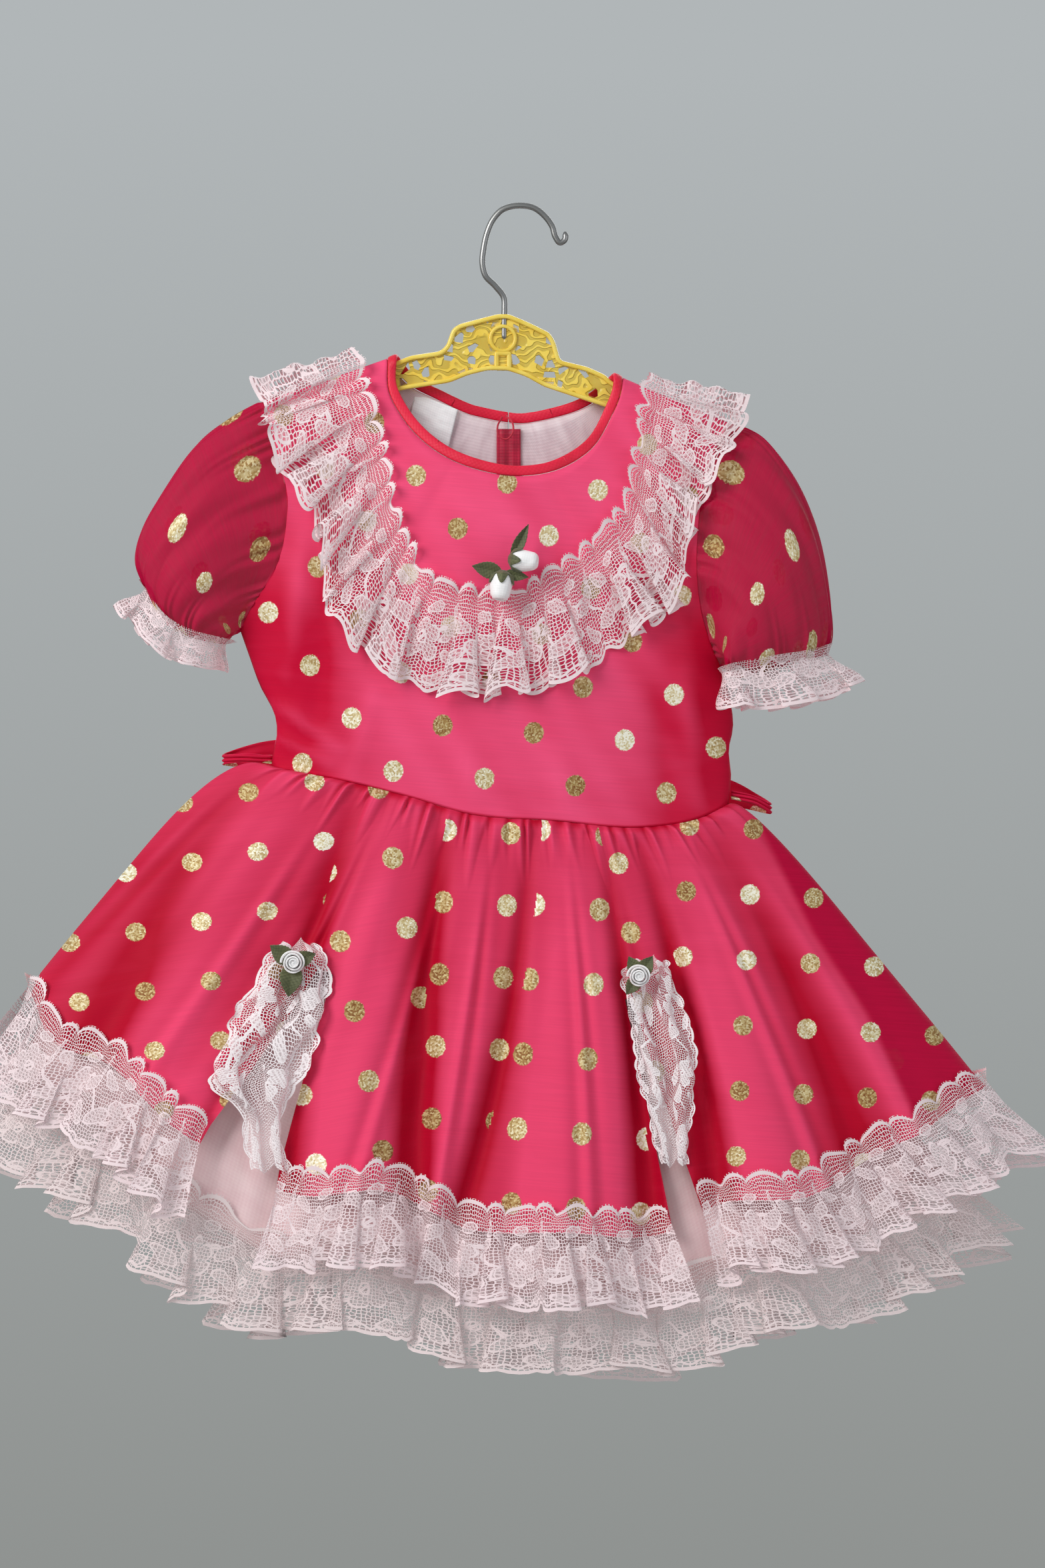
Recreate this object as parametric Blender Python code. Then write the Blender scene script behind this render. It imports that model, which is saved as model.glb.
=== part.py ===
"""Toddler's party dress on a small child's hanger.

The dress has a fitted bodice, a gathered lace collar sewn in a deep U from shoulder to
shoulder, two puff sleeves with lace cuffs, and a wide gathered overskirt that is caught up
in two notches over a plain underskirt, each with a lace ruffle on its hem.

Sizes are in millimetres. The outline tables give what an eye EYE_DISTANCE in front of the
hanger sees in the hanger's own plane, and seen() takes every point back to its true place.
X runs right, Z runs up, -Y faces the eye, and the origin is where the hook hangs.
"""
import math

import bmesh
import bpy
import numpy as np
from mathutils import Vector
from mathutils.bvhtree import BVHTree

MM = 0.001

# How the outlines were sighted
EYE_DISTANCE = 1500.0
EYE_X = 0.5
EYE_Z = -310.7

# Cloth thicknesses and the gap that sewn pieces keep
LINED_CLOTH = 1.4
THIN_CLOTH = 1.2
LACE = 1.0
SEAM = 0.35

# Half depths of the dress as it hangs
SHOULDER_DEPTH = 5.2
ARMHOLE_DEPTH = 11.0
CHEST_SWELL = 5.0
NECK_DROP = 12.0
WAIST_DEPTH = 18.0
HEM_DEPTH = {"front": 58.0, "back": 34.0}

# Outline curves, each point an (x, z) pair
NECK_FRONT = [(-72.6, -81.4), (-71.8, -99), (-65.8, -111.2), (-58.6, -120.6), (-44.2, -132.5),
              (-22.6, -141.5), (-1, -144.6), (20.6, -140.8), (38.6, -129.2), (48.7, -112.3),
              (53.7, -99.7), (54.8, -91.8)]
NECK_BACK = [(-72.6, -81.4), (-62, -94.5), (-46, -103.3), (-25.8, -112.3), (-5.5, -116.3),
             (17, -113.4), (33.9, -107.8), (46, -100), (54.8, -91.8)]
ARMHOLE_LEFT = [(-139.4, -104.4), (-135.5, -118), (-130, -140), (-126.6, -155),
                (-127, -168.5), (-130.4, -188.8), (-138.1, -203.5), (-145.5, -215), (-151.8, -227.2)]
ARMHOLE_RIGHT = [(112, -116), (103.5, -134), (98, -152), (95.5, -172), (94.5, -193),
                 (95.8, -210), (98.8, -225), (102.8, -237), (107, -247)]
SIDE_LEFT = [(-151.8, -227.2), (-147.1, -240.5), (-140.5, -258.5), (-133.8, -271),
             (-131, -281), (-133.5, -292), (-134.9, -302.4)]
SIDE_RIGHT = [(107, -247), (112, -264), (113.9, -280.1), (111.5, -292.3), (112.8, -305.8),
              (111.5, -321.5)]
WAIST = [(-134.9, -302.4), (-104.7, -307.1), (-64, -316.6), (-25.8, -327.2), (19.2, -330.5),
         (64.2, -334.1), (98, -328.3), (111.5, -321.5)]
HEM = [(-257, -413), (-246, -438), (-214, -453), (-181, -485), (-150, -505), (-122, -520),
       (-70, -519), (-28, -539), (20, -541), (77, -541), (101, -527), (150, -522), (179, -505),
       (211, -485), (239.5, -465)]

# How far the skirt's sides swell past a straight line from waist to hem
SWELL_LEFT = (-11.0, 13.0)
SWELL_RIGHT = (4.0, 6.0)

# Main folds of the skirt: place along the waist and along the hem, half width, depth out
FOLD_COLUMNS = ("waist", "hem", "half_width", "depth")
FRONT_FOLDS = [
    (0.03, 0.085, 0.024, -5.0),
    (0.10, 0.17, 0.030, 5.0),
    (0.17, 0.275, 0.024, -5.0),
    (0.27, 0.36, 0.030, 6.0),
    (0.353, 0.437, 0.022, -9.0),
    (0.45, 0.475, 0.022, 6.0),
    (0.529, 0.510, 0.020, -6.0),
    (0.575, 0.565, 0.024, 6.0),
    (0.697, 0.615, 0.024, -6.0),
    (0.763, 0.664, 0.022, -6.0),
    (0.82, 0.74, 0.028, 6.0),
    (0.88, 0.82, 0.024, -6.0),
    (0.95, 0.91, 0.026, 5.0),
]
BACK_FOLDS = [
    (0.12, 0.10, 0.040, 5.0),
    (0.24, 0.23, 0.036, -6.0),
    (0.37, 0.36, 0.040, 6.0),
    (0.50, 0.50, 0.036, -6.0),
    (0.62, 0.64, 0.040, 6.0),
    (0.75, 0.77, 0.036, -6.0),
    (0.88, 0.90, 0.040, 5.0),
]
GATHERS = {"front": 28, "back": 20}
GATHER_DEPTH = 2.0
GATHER_REACH = 0.22

# Notches where the overskirt is caught up: places along the hem, and how high they reach
NOTCH_COLUMNS = ("left", "top_left", "top_right", "right", "reach")
NOTCHES = {
    "left": (0.182, 0.262, 0.284, 0.299, 0.50),
    "right": (0.679, 0.684, 0.694, 0.712, 0.54),
}

# Where each layer of the skirt lies, outwards from the seam line
UNDERSKIRT_OUT = -3.6
UNDERSKIRT_SINK = 6.0
UNDERSKIRT_RELIEF = 0.3
OVERSKIRT_OUT = 1.1
OVERSKIRT_LIFT = 2.0
LEFT_FALL = (0.33, -0.24)
HEM_BELOW_HEADER = 12.0
UNDERSKIRT_DROP = 46.0
UNDERSKIRT_NARROWING = 0.06
WAIST_GAP = 1.3

# Waves of each stretch of the hem lace, and numbers of columns and rows in the skirts
OVER_WAVES = {"left": 9, "centre": 15, "right": 12, "back": 18}
UNDER_WAVES = {"front": 22, "back": 12}
OVERSKIRT_ROWS = 7
UNDERSKIRT_COLUMNS = {"front": 30, "back": 22}
PLAIN_ROWS = 5
NOTCH_FLANKS = (0.33, 0.67)

# Hem lace: drop below the measured hem, stand off the cloth and depth of a wave
RUFFLE_COLUMNS = ("drop", "stand", "wave")
OVER_RUFFLE = [
    (-2.0, 3.4, 3.2),
    (8.0, 3.0, 0.8),
    (52.0, 4.0, 8.0),
]
UNDER_RUFFLE = [
    (34.0, 2.6, 2.0),
    (42.0, 2.4, 0.8),
    (86.0, 3.0, 7.0),
]

# Cascades of lace in the notches: height, left and right
CASCADE_COLUMNS = ("z", "left", "right")
CASCADES = {
    "left": [
        (-396.5, -130, -117),
        (-404, -137, -110.5),
        (-420, -145.5, -110.4),
        (-431, -153, -113.3),
        (-445, -159, -117.3),
        (-463, -168, -118.7),
        (-474, -169, -126),
        (-488, -150, -135),
        (-504, -144, -134.5),
    ],
    "right": [
        (-405.7, 68, 79.3),
        (-413, 62, 82),
        (-427, 62.5, 85),
        (-442, 64.5, 89.5),
        (-457, 67.5, 94.4),
        (-470, 70, 91.5),
        (-484, 72.5, 89.5),
        (-499, 75.5, 82.5),
    ],
}
CASCADE_FOLDS = 3
CASCADE_STAND = 0.95
CASCADE_WIDE = 34.0
CASCADE_DEPTH = 5.0

# Collar: inner (header) edge and outer edge, in front and behind
COLLAR_INNER = [(-90, -78), (-84, -97), (-76.2, -121.3), (-69.7, -152.6), (-61.8, -177.5),
                (-48.1, -199), (-25.8, -205), (-8, -208), (8, -200), (26, -188.6), (44, -173.2),
                (56.3, -157.3), (61, -134.6), (64.2, -115), (67, -90)]
COLLAR_OUTER = [(-143.5, -95), (-134, -134), (-116, -160), (-107.5, -195), (-104, -220),
                (-84, -241), (-58, -257), (-20, -263), (10, -259), (38, -247), (62, -230),
                (86, -212), (91, -183), (97, -157.3), (109, -136), (121.5, -112)]
COLLAR_INNER_BACK = [(-90, -78), (-78, -110), (-52, -136), (-11, -148)]
COLLAR_OUTER_BACK = [(-143.5, -95), (-128, -140), (-92, -178), (-11, -197)]
COLLAR_INNER_BACK_RIGHT = [(67, -90), (55, -118), (34, -138), (-3, -148)]
COLLAR_OUTER_BACK_RIGHT = [(121.5, -112), (108, -150), (72, -181), (-3, -197)]
COLLAR_WAVES = 30
COLLAR_BACK_WAVES = 6
COLLAR_SPREAD = 4.0
# Across the collar: share of its width, stand off the bodice, depth of a wave
COLLAR_COLUMNS = ("share", "stand", "wave")
COLLAR_ROWS = [
    (0.00, 2.2, 3.0),
    (0.17, 1.5, 0.8),
    (1.00, 3.0, 7.0),
]

# Sleeves: rings from armhole to cuff, each with its top, its underarm point, its half
# depth, how far its middle sags towards the hand and how far it laps over the bodice
SLEEVE_COLUMNS = ("top_x", "top_z", "under_x", "under_z", "half_depth", "sag", "lap")
SLEEVE_LEFT = [
    (-157, -114, -153.4, -229, 15, 0, 0),
    (-176, -127.5, -155, -230.2, 21, 2, 0),
    (-193, -151, -156.6, -231.4, 26, 4, 0),
    (-204, -171, -158.2, -232.4, 28, 6, 0),
    (-208, -190, -159.8, -233.3, 25, 8, 0),
    (-201.5, -206, -161.4, -234, 21, 9, 0),
]
SLEEVE_RIGHT = [
    (123, -119, 109.8, -247.6, 15, 0, 3),
    (134, -127.5, 111.4, -248.4, 20, 1, 6),
    (149, -149.5, 113, -249.2, 25, 2, 9),
    (159.5, -176, 114.6, -250, 28, 2, 12),
    (165.5, -206, 116.2, -250.8, 27, 2, 15),
    (167, -228, 117.8, -251.6, 23, 1, 17),
    (164, -241, 119.4, -252.4, 19, 0, 18),
]
# Outer edge of each lace cuff, in the same columns
CUFF_EDGES = {
    "left": (-212, -219, -166, -246, 23, 10, 0),
    "right": (177, -259, 124, -266, 25, 8, 19),
}
CUFF_HEADER = 5.0
CUFF_STANDS = (2.2, 2.0, 2.2)
CUFF_WAVE_DEPTHS = (1.4, 0.4, 4.0)
ARMHOLE_GAP = 1.5
LAP_PEAK = 0.1055
LAP_LIFT = 0.45

# Ribbon roses: place, radius, height and lean of the leaves
ROSE_COLUMNS = ("x", "z", "radius", "height")
SKIRT_ROSES = {
    "left": (-123.4, -407.2, 6.9, 7.0),
    "right": (63.5, -414.5, 6.6, 7.0),
}
ROSE_PROFILE = [(0.72, 0.0), (1.0, 0.35), (0.97, 0.85), (0.78, 1.0), (0.62, 0.72), (0.4, 0.95), (0.2, 0.74)]
ROSE_LEAVES = {
    "left": [(22, 14.5), (143, 16), (250, 18)],
    "right": [(56, 13), (130, 12), (235, 12)],
}
BUD_PROFILE = [(0.45, 0.0), (0.95, 0.25), (1.0, 0.6), (0.85, 1.0), (0.5, 0.86)]
BUD_LEAVES = {
    "upper": [(75, 17), (300, 12)],
    "lower": [(10, 15), (150, 17)],
}
LEAF = 1.0
LEAF_OUTLINE = ((-34, 0.34), (-17, 0.62), (0, 1.0), (17, 0.62), (34, 0.34))
BUD_COLUMNS = ("x", "z", "radius", "length", "turn")
CHEST_BUDS = {
    "upper": (0.1, -190.6, 5.6, 16.0, -75.0),
    "lower": (-11.0, -203.0, 5.8, 16.0, -160.0),
}

# Hanger: outline from the middle out, given as (x, z), and the plain piercings in its web
HANGER_TOP = [(-129, -103.6), (-100, -93.5), (-72, -83.8), (-66.5, -82), (-60, -79.4), (-44, -77),
              (-40.6, -73.8), (-37.7, -65.2), (-33.9, -62.4), (-24, -59.8), (-12.7, -56.9),
              (-6.9, -56.9), (4, -61.5), (15.2, -67), (18.1, -71.6), (21, -81.9), (35.4, -85.4),
              (45, -89.6), (49, -93.4), (75, -103.2), (102, -114.6)]
HANGER_BOTTOM = [(98, -127.5), (70, -117), (44.2, -106.9), (12.3, -96.3), (1.9, -90.6),
                 (-7.8, -87.4), (-18.5, -87.4), (-29, -90), (-38.8, -94), (-62.9, -97.8),
                 (-95, -105.5), (-124, -115)]
HANGER_RIM = 2.6
HANGER_HALF_DEPTH = 2.7
WEB_HALF_DEPTH = 1.0
RING_CENTRE = (-10.1, -70.2)
RING_RADIUS = 5.6
RING_WALL = 2.2
RING_HALF_DEPTH = 2.0
POST_CENTRE = (-10.1, -82.4)
POST_HALF_SIZE = (4.5, 5.4)
BORE = (-60.0, 14.0)
PIERCING_COLUMNS = ("x", "half_width", "half_height")
PIERCINGS = [
    (-112, 6.5, 2.2), (-95, 6.5, 2.2), (-78, 6.5, 2.4), (-60, 5.5, 3.0), (-47, 4.5, 3.6),
    (-28.5, 5.2, 6.0), (8.5, 4.4, 6.0), (27, 4.8, 3.2), (41, 5.0, 3.0), (57, 6.0, 2.4),
    (73, 6.0, 2.2), (88, 6.0, 2.2),
]
HOOK_WIRE = 1.65
HOOK_ROUTE = [(-9.4, -71), (-9.4, -60), (-9.2, -54), (-9.6, -48), (-14, -42), (-19.6, -36),
              (-21.1, -30), (-20.4, -21), (-18.4, -12.5), (-15.2, -5.6), (-10.4, -0.6), (-5, 1.3),
              (0, 1.65), (6.6, 0.4), (12.8, -4.3), (16.6, -9.7), (18.4, -15.4), (20.8, -18.4),
              (23.4, -16.8), (23.6, -12.4)]

# Small trims at the neck and the back
BINDING_WIDTH = 5.6
BINDING_THICKNESS = 2.2
PLACKET = (-13.4, -0.6)
OPENING_X = -7.0
OPENING_HALF = 0.5
OPENING_SHIFT = 7
LABEL_CORNERS = [(-57.5, -99.5), (-34.3, -108.6), (-41.5, -137), (-64.5, -128)]
BUTTON_RADIUS = 5.5
BUTTON_THICKNESS = 2.4
BUTTON_HEIGHTS = (-126.0, -213.0, -264.0)
LINING_START = 3
LINING_ROWS = 5
PLACKET_TOP = -119.0
PLACKET_FOOT = -318.0

# Sash ties and bow loops as paths of (x, y, z, half height), and the hanging tails
SASH_PATHS = {
    "sash_left": [
        (-134.6, 2.5, -296.5, 3), (-150, 4, -295.5, 3.5), (-161, 9, -296.5, 4.5),
        (-157, 17, -296, 6), (-140, 21, -295, 8), (-105, 22.6, -297, 10), (-60, 23.2, -303, 10),
        (-15, 23.2, -311, 7),
    ],
    "sash_right": [
        (113.2, 2.5, -315.5, 3), (126, 4, -318.5, 3.5), (134.5, 9, -323, 4.5),
        (130, 17, -321, 6), (114, 21, -316, 8), (78, 22.6, -318, 10), (40, 23.2, -317, 10),
        (2, 23.2, -313, 7),
    ],
    "bow_loop_left": [
        (-15.2, 27.5, -313, 6), (-36, 25, -308, 12), (-56, 26, -309, 14), (-64, 30, -310, 14),
        (-56, 34.5, -309, 14), (-36, 35, -307, 12), (-15.2, 31.5, -312, 5),
    ],
    "bow_loop_right": [
        (2.2, 27.5, -313, 6), (23, 25, -308, 12), (43, 26, -309, 14), (51, 30, -310, 14),
        (43, 34.5, -309, 14), (23, 35, -307, 12), (2.2, 31.5, -312, 5),
    ],
}
SASH_TAILS = {
    "bow_tail_left": [
        (-326, -17, -9), (-345, -26, -10), (-370, -33, -13), (-400, -38, -16), (-430, -42, -18),
    ],
    "bow_tail_right": [
        (-326, -5, 3), (-345, -3, 12), (-370, 0, 20), (-400, 4, 26), (-424, 7, 31),
    ],
}
TAIL_STAND = 3.3
KNOT_BASE = (-6.5, 24.4, -313.0)

# Finishes: base colour, roughness, metallic
FINISHES = {
    "hot_pink_organza": ((0.78, 0.10, 0.17, 1), 0.5, 0.0),
    "crimson_organza": ((0.46, 0.01, 0.04, 1), 0.5, 0.0),
    "red_binding": ((0.70, 0.01, 0.04, 1), 0.55, 0.0),
    "white_lace": ((0.88, 0.80, 0.82, 1), 0.8, 0.0),
    "pale_pink_satin": ((0.80, 0.60, 0.61, 1), 0.35, 0.0),
    "white_lining": ((0.80, 0.70, 0.72, 1), 0.5, 0.0),
    "white_ribbon": ((0.90, 0.82, 0.81, 1), 0.4, 0.0),
    "green_ribbon": ((0.10, 0.12, 0.04, 1), 0.6, 0.0),
    "yellow_plastic": ((0.90, 0.58, 0.06, 1), 0.4, 0.0),
    "steel_wire": ((0.30, 0.30, 0.29, 1), 0.3, 1.0),
    "white_plastic": ((0.85, 0.83, 0.82, 1), 0.35, 0.0),
}

SHEETS = {}


def clear_scene():
    """Start from an empty scene."""
    for old in list(bpy.data.objects):
        bpy.data.objects.remove(old, do_unlink=True)


def finish(name):
    """Make, or find again, the material of one finish."""
    found = bpy.data.materials.get(name)
    if found:
        return found
    colour, roughness, metallic = FINISHES[name]
    made = bpy.data.materials.new(name)
    made.use_nodes = True
    shader = made.node_tree.nodes["Principled BSDF"]
    shader.inputs["Base Color"].default_value = colour
    shader.inputs["Roughness"].default_value = roughness
    shader.inputs["Metallic"].default_value = metallic
    return made


def seen(points):
    """Take sighted points (x, y, z) to their true place: nearer ones move in to the eye's line."""
    points = np.asarray(points, float)
    scale = (EYE_DISTANCE + points[..., 1]) / EYE_DISTANCE
    true = points.copy()
    true[..., 0] = EYE_X + (points[..., 0] - EYE_X) * scale
    true[..., 2] = EYE_Z + (points[..., 2] - EYE_Z) * scale
    return true


def curve(points, share):
    """Smooth curve through points, read at shares 0..1 of its length (cubic Hermite)."""
    points = np.asarray(points, float)
    share = np.asarray(share, float)
    steps = np.linalg.norm(np.diff(points, axis=0), axis=1)
    knots = np.concatenate([[0], np.cumsum(steps)]) / steps.sum()
    slopes = np.gradient(points, knots, axis=0)
    found = np.clip(np.searchsorted(knots, share, side="right") - 1, 0, len(knots) - 2)
    width = (knots[found + 1] - knots[found])[..., None]
    t = ((share - knots[found]) / (knots[found + 1] - knots[found]))[..., None]
    start = (2 * t**3 - 3 * t**2 + 1) * points[found] + (t**3 - 2 * t**2 + t) * width * slopes[found]
    end = (3 * t**2 - 2 * t**3) * points[found + 1] + (t**3 - t**2) * width * slopes[found + 1]
    return start + end


def ease(low, high, value):
    """Rise smoothly from 0 at low to 1 at high."""
    t = np.clip((value - low) / (high - low), 0, 1)
    return t * t * (3 - 2 * t)


def column(rows, names, name):
    """One named column of a table as an array."""
    return np.array([row[names.index(name)] for row in rows], float)


def crossed(along, across):
    """Unit vectors square to two directions."""
    normal = np.cross(along, across)
    return normal / np.maximum(np.linalg.norm(normal, axis=-1, keepdims=True), 1e-9)


def sheet_normals(points, ring):
    """Normals of a grid of points, whose columns may run round in a ring."""
    down = np.gradient(points, axis=0)
    if ring:
        across = (np.roll(points, -1, axis=1) - np.roll(points, 1, axis=1)) / 2
    else:
        across = np.gradient(points, axis=1)
    return crossed(across, down)


def grid_triangles(rows, columns, ring):
    """Triangles of one face of a grid."""
    last = columns if ring else columns - 1
    r, c = np.meshgrid(np.arange(rows - 1), np.arange(last), indexing="ij")
    a = (r * columns + c).ravel()
    b = (r * columns + (c + 1) % columns).ravel()
    below = a + columns
    below_next = b + columns
    return np.concatenate([np.stack([a, b, below_next], 1), np.stack([a, below_next, below], 1)])


def rim_loops(rows, columns, ring):
    """The open edges of a grid as closed loops of point numbers."""
    top = list(range(columns))
    bottom = [(rows - 1) * columns + c for c in range(columns)]
    if ring:
        return [top, bottom]
    right = [r * columns + columns - 1 for r in range(1, rows - 1)]
    left = [r * columns for r in range(1, rows - 1)]
    return [top + right + bottom[::-1] + left[::-1]]


def solid_triangles(rows, columns, ring):
    """Triangles of a wall: front face, back face and the rims between them."""
    face = grid_triangles(rows, columns, ring)
    count = rows * columns
    parts = [face, face[:, ::-1] + count]
    for loop in rim_loops(rows, columns, ring):
        a = np.array(loop)
        b = np.roll(a, -1)
        parts.append(np.stack([b, a, a + count], 1))
        parts.append(np.stack([b, a + count, b + count], 1))
    if ring:
        bottom = parts[-2:]
        parts[-2:] = [tri[:, ::-1] for tri in bottom]
    return np.concatenate(parts)


def volume(points, triangles):
    """Signed volume of a closed set of triangles."""
    a, b, c = (points[triangles[:, k]] for k in range(3))
    return float(np.einsum("ij,ij->i", a, np.cross(b, c)).sum()) / 6


def make_object(name, points, triangles, material, smooth=True):
    """Turn sighted points in millimetres into a named object with its faces pointing out."""
    true = seen(points)
    if volume(true, triangles) < 0:
        triangles = triangles[:, ::-1]
    mesh = bpy.data.meshes.new(name)
    mesh.from_pydata((true * MM).tolist(), [], triangles.tolist())
    mesh.update()
    mesh.materials.append(finish(material))
    if smooth:
        mesh.shade_smooth()
        mesh.set_sharp_from_angle(angle=math.radians(50))
    made = bpy.data.objects.new(name, mesh)
    bpy.context.collection.objects.link(made)
    return made


def wall(name, points, thickness, material, ring=False, side=None):
    """Build a cloth wall on a grid of mid points; a front or back piece keeps to its own side."""
    points = np.asarray(points, float)
    rows, columns = points.shape[:2]
    half = sheet_normals(points, ring) * (thickness / 2)
    both = np.concatenate([(points + half).reshape(-1, 3), (points - half).reshape(-1, 3)])
    if side == "front":
        both[:, 1] = np.minimum(both[:, 1], -SEAM / 2)
    if side == "back":
        both[:, 1] = np.maximum(both[:, 1], SEAM / 2)
    SHEETS[name] = (both, solid_triangles(rows, columns, ring))
    return make_object(name, both, SHEETS[name][1], material)


def tree_of(names):
    """Search tree over the named walls, as sighted."""
    points = []
    triangles = []
    for name in names:
        sheet, faces = SHEETS[name]
        triangles.extend((faces + len(points)).tolist())
        points.extend(sheet.tolist())
    return BVHTree.FromPolygons(points, triangles)


def lie_on(tree, x, z, side, spread=3.0, missing=0.0):
    """Outermost y of the walls at (x, z), looked at from the front (side -1) or behind (+1)."""
    found = []
    for dx, dz in ((0, 0), (spread, 0), (-spread, 0), (0, spread), (0, -spread)):
        hit = tree.ray_cast(Vector((x + dx, side * 400.0, z + dz)), Vector((0, -side, 0)))
        if hit[0] is not None:
            found.append(side * hit[0].y)
    return side * max(found) if found else side * missing


def over_shoulder(distance):
    """Half depth of the cloth at a drop below the shoulder seam: a quarter circle, then upright."""
    drop = np.clip(distance, 0, SHOULDER_DEPTH)
    return np.sqrt(drop * (2 * SHOULDER_DEPTH - drop)) + SEAM / 2


def armhole_depth(share, length):
    """Half depth of an armhole: the hanger's at the top, open in the middle, closed below."""
    top = over_shoulder(share * length)
    opened = (ARMHOLE_DEPTH - SHOULDER_DEPTH) * ease(0.0, 0.45, share)
    closing = np.sqrt(np.clip(1 - np.clip((share - 0.72) / 0.28, 0, 1) ** 2, 0, 1))
    return (top + opened) * closing + SEAM / 2 * (1 - closing)


def length_of(points):
    """Length of a chain of points."""
    return float(np.linalg.norm(np.diff(np.asarray(points, float), axis=0), axis=1).sum())


def ring_shares(count):
    """Shares along half a ring, closer together at its ends: (1 - cos) / 2."""
    return (1 - np.cos(np.linspace(0, math.pi, count))) / 2


ARMHOLE_STEPS = 11
SIDE_STEPS = 3
WAIST_STEPS = 16
BODICE_ROWS = 6
UNDERARM_DROOP = 19.0
# Shares of the neckline that face the armholes, the sides and the waist
NECK_BREAKS = (0.0, 0.30, 0.36, 0.64, 0.70, 1.0)


def armhole_shares():
    """Shares down an armhole, with one more close to the shoulder seam."""
    return np.insert(ring_shares(ARMHOLE_STEPS), 1, 0.009)


def bodice_border():
    """Outer border of the bodice as (x, z, half depth, side weight, share of the neckline, droop)."""
    arm = armhole_shares()
    side = np.linspace(0, 1, SIDE_STEPS + 1)[1:]
    waist = ring_shares(WAIST_STEPS + 1)[1:-1] * 0.55 + np.linspace(0, 1, WAIST_STEPS + 1)[1:-1] * 0.45
    waist_depth = WAIST_DEPTH * np.sqrt(1 - (2 * waist - 1) ** 2) + SEAM / 2
    left = curve(ARMHOLE_LEFT, arm)
    right = curve(ARMHOLE_RIGHT, arm[::-1])
    chain = np.concatenate([left, curve(SIDE_LEFT, side), curve(WAIST, waist),
                            curve(SIDE_RIGHT, side[::-1]), right])
    arm_left = armhole_depth(arm, length_of(ARMHOLE_LEFT))
    arm_right = armhole_depth(arm[::-1], length_of(ARMHOLE_RIGHT))
    seam = np.full(SIDE_STEPS, SEAM / 2)
    depth = np.concatenate([arm_left, seam, waist_depth, seam, arm_right])
    closed = ease(0.55, 1.0, arm)
    weight = np.concatenate([closed, np.ones(SIDE_STEPS), np.zeros(WAIST_STEPS - 1),
                             np.ones(SIDE_STEPS), closed[::-1]])
    lower_left, upper_left, upper_right, lower_right = NECK_BREAKS[1:5]
    neck = np.concatenate([arm * lower_left,
                           lower_left + side * (upper_left - lower_left),
                           upper_left + waist * (upper_right - upper_left),
                           upper_right + (1 - side[::-1]) * (lower_right - upper_right),
                           lower_right + (1 - arm[::-1]) * (1 - lower_right)])
    droop = np.concatenate([ease(0.5, 1.0, arm), 1 - side, np.zeros(WAIST_STEPS - 1),
                            (1 - side)[::-1], ease(0.5, 1.0, arm)[::-1]])
    return chain, depth, weight, neck, droop


def bodice(neck_points, sign, drop):
    """Bodice panel as a grid from the neckline (row 0) out to armholes, sides and waist.

    Half depth runs from the neckline's to the border's, in a straight line to the shoulders and
    the waist and on a quarter ellipse to the sides, plus a swell over the chest.
    """
    chain, edge_depth, weight, neck, droop = bodice_border()
    inner = curve(neck_points, neck)
    along = np.minimum(neck, 1 - neck) * length_of(neck_points)
    neck_depth = over_shoulder(along) + drop * ease(0, 95.0, along)
    v = np.linspace(0, 1, BODICE_ROWS)[:, None]
    v = 1 - (1 - v) ** 1.25
    flat = inner[None] * (1 - v[..., None]) + chain[None] * v[..., None]
    flat[..., 1] -= UNDERARM_DROOP * droop * np.sin(math.pi * v)
    rounded = 1 - np.sqrt(1 - v**2)
    blend = v * (1 - weight) + rounded * weight
    swell = CHEST_SWELL * np.sin(math.pi * v) * ease(0.0, 0.3, np.minimum(neck, 1 - neck))
    depth = neck_depth * (1 - blend) + edge_depth * blend + swell
    return np.stack([flat[..., 0], sign * depth, flat[..., 1]], -1)


def toward(start, end, distance):
    """Points at a distance from start, on the way to end."""
    step = end - start
    return start + step / np.linalg.norm(step, axis=-1, keepdims=True) * distance


def build_bodice():
    """Front, the two back halves, their lining and the neck binding."""
    front = bodice(NECK_FRONT, -1, NECK_DROP)
    wall("bodice_front", front, LINED_CLOTH, "hot_pink_organza", side="front")
    back = bodice(NECK_BACK, 1, NECK_DROP / 2)
    middle = back.shape[1] // 2
    nearness = np.clip(1 - np.abs(np.arange(back.shape[1]) - middle) / OPENING_SHIFT, 0, 1)
    back[..., 0] += (OPENING_X - back[:, [middle], 0]) * nearness
    inside = back - sheet_normals(back, False) * (LINED_CLOTH / 2 + LACE / 2 + SEAM)
    halves = {"left": (slice(0, middle + 1), slice(LINING_START, middle + 1), -1),
              "right": (slice(middle, None), slice(middle, -LINING_START), 0)}
    for name, (part, lined, edge) in halves.items():
        opening = OPENING_X + (OPENING_HALF if name == "right" else -OPENING_HALF)
        outer = back[:, part].copy()
        outer[:, edge, 0] = opening
        wall(f"bodice_back_{name}", outer, LINED_CLOTH, "hot_pink_organza", side="back")
        inner = inside[:LINING_ROWS, lined].copy()
        inner[:, edge, 0] = opening
        wall(f"back_lining_{name}", inner, LACE, "white_lining")
    rows = []
    for distance in (BINDING_WIDTH + SEAM, SEAM):
        ahead = toward(front[0], front[1], -distance)
        behind = toward(back[0], back[1], -distance)
        left = behind[1:middle + 1][::-1].copy()
        right = behind[middle:-1][::-1].copy()
        left[0, 0] = OPENING_X - OPENING_HALF
        right[-1, 0] = OPENING_X + OPENING_HALF
        rows.append(np.concatenate([left, ahead, right]))
    wall("neck_binding", np.array(rows), BINDING_THICKNESS, "red_binding")


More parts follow.
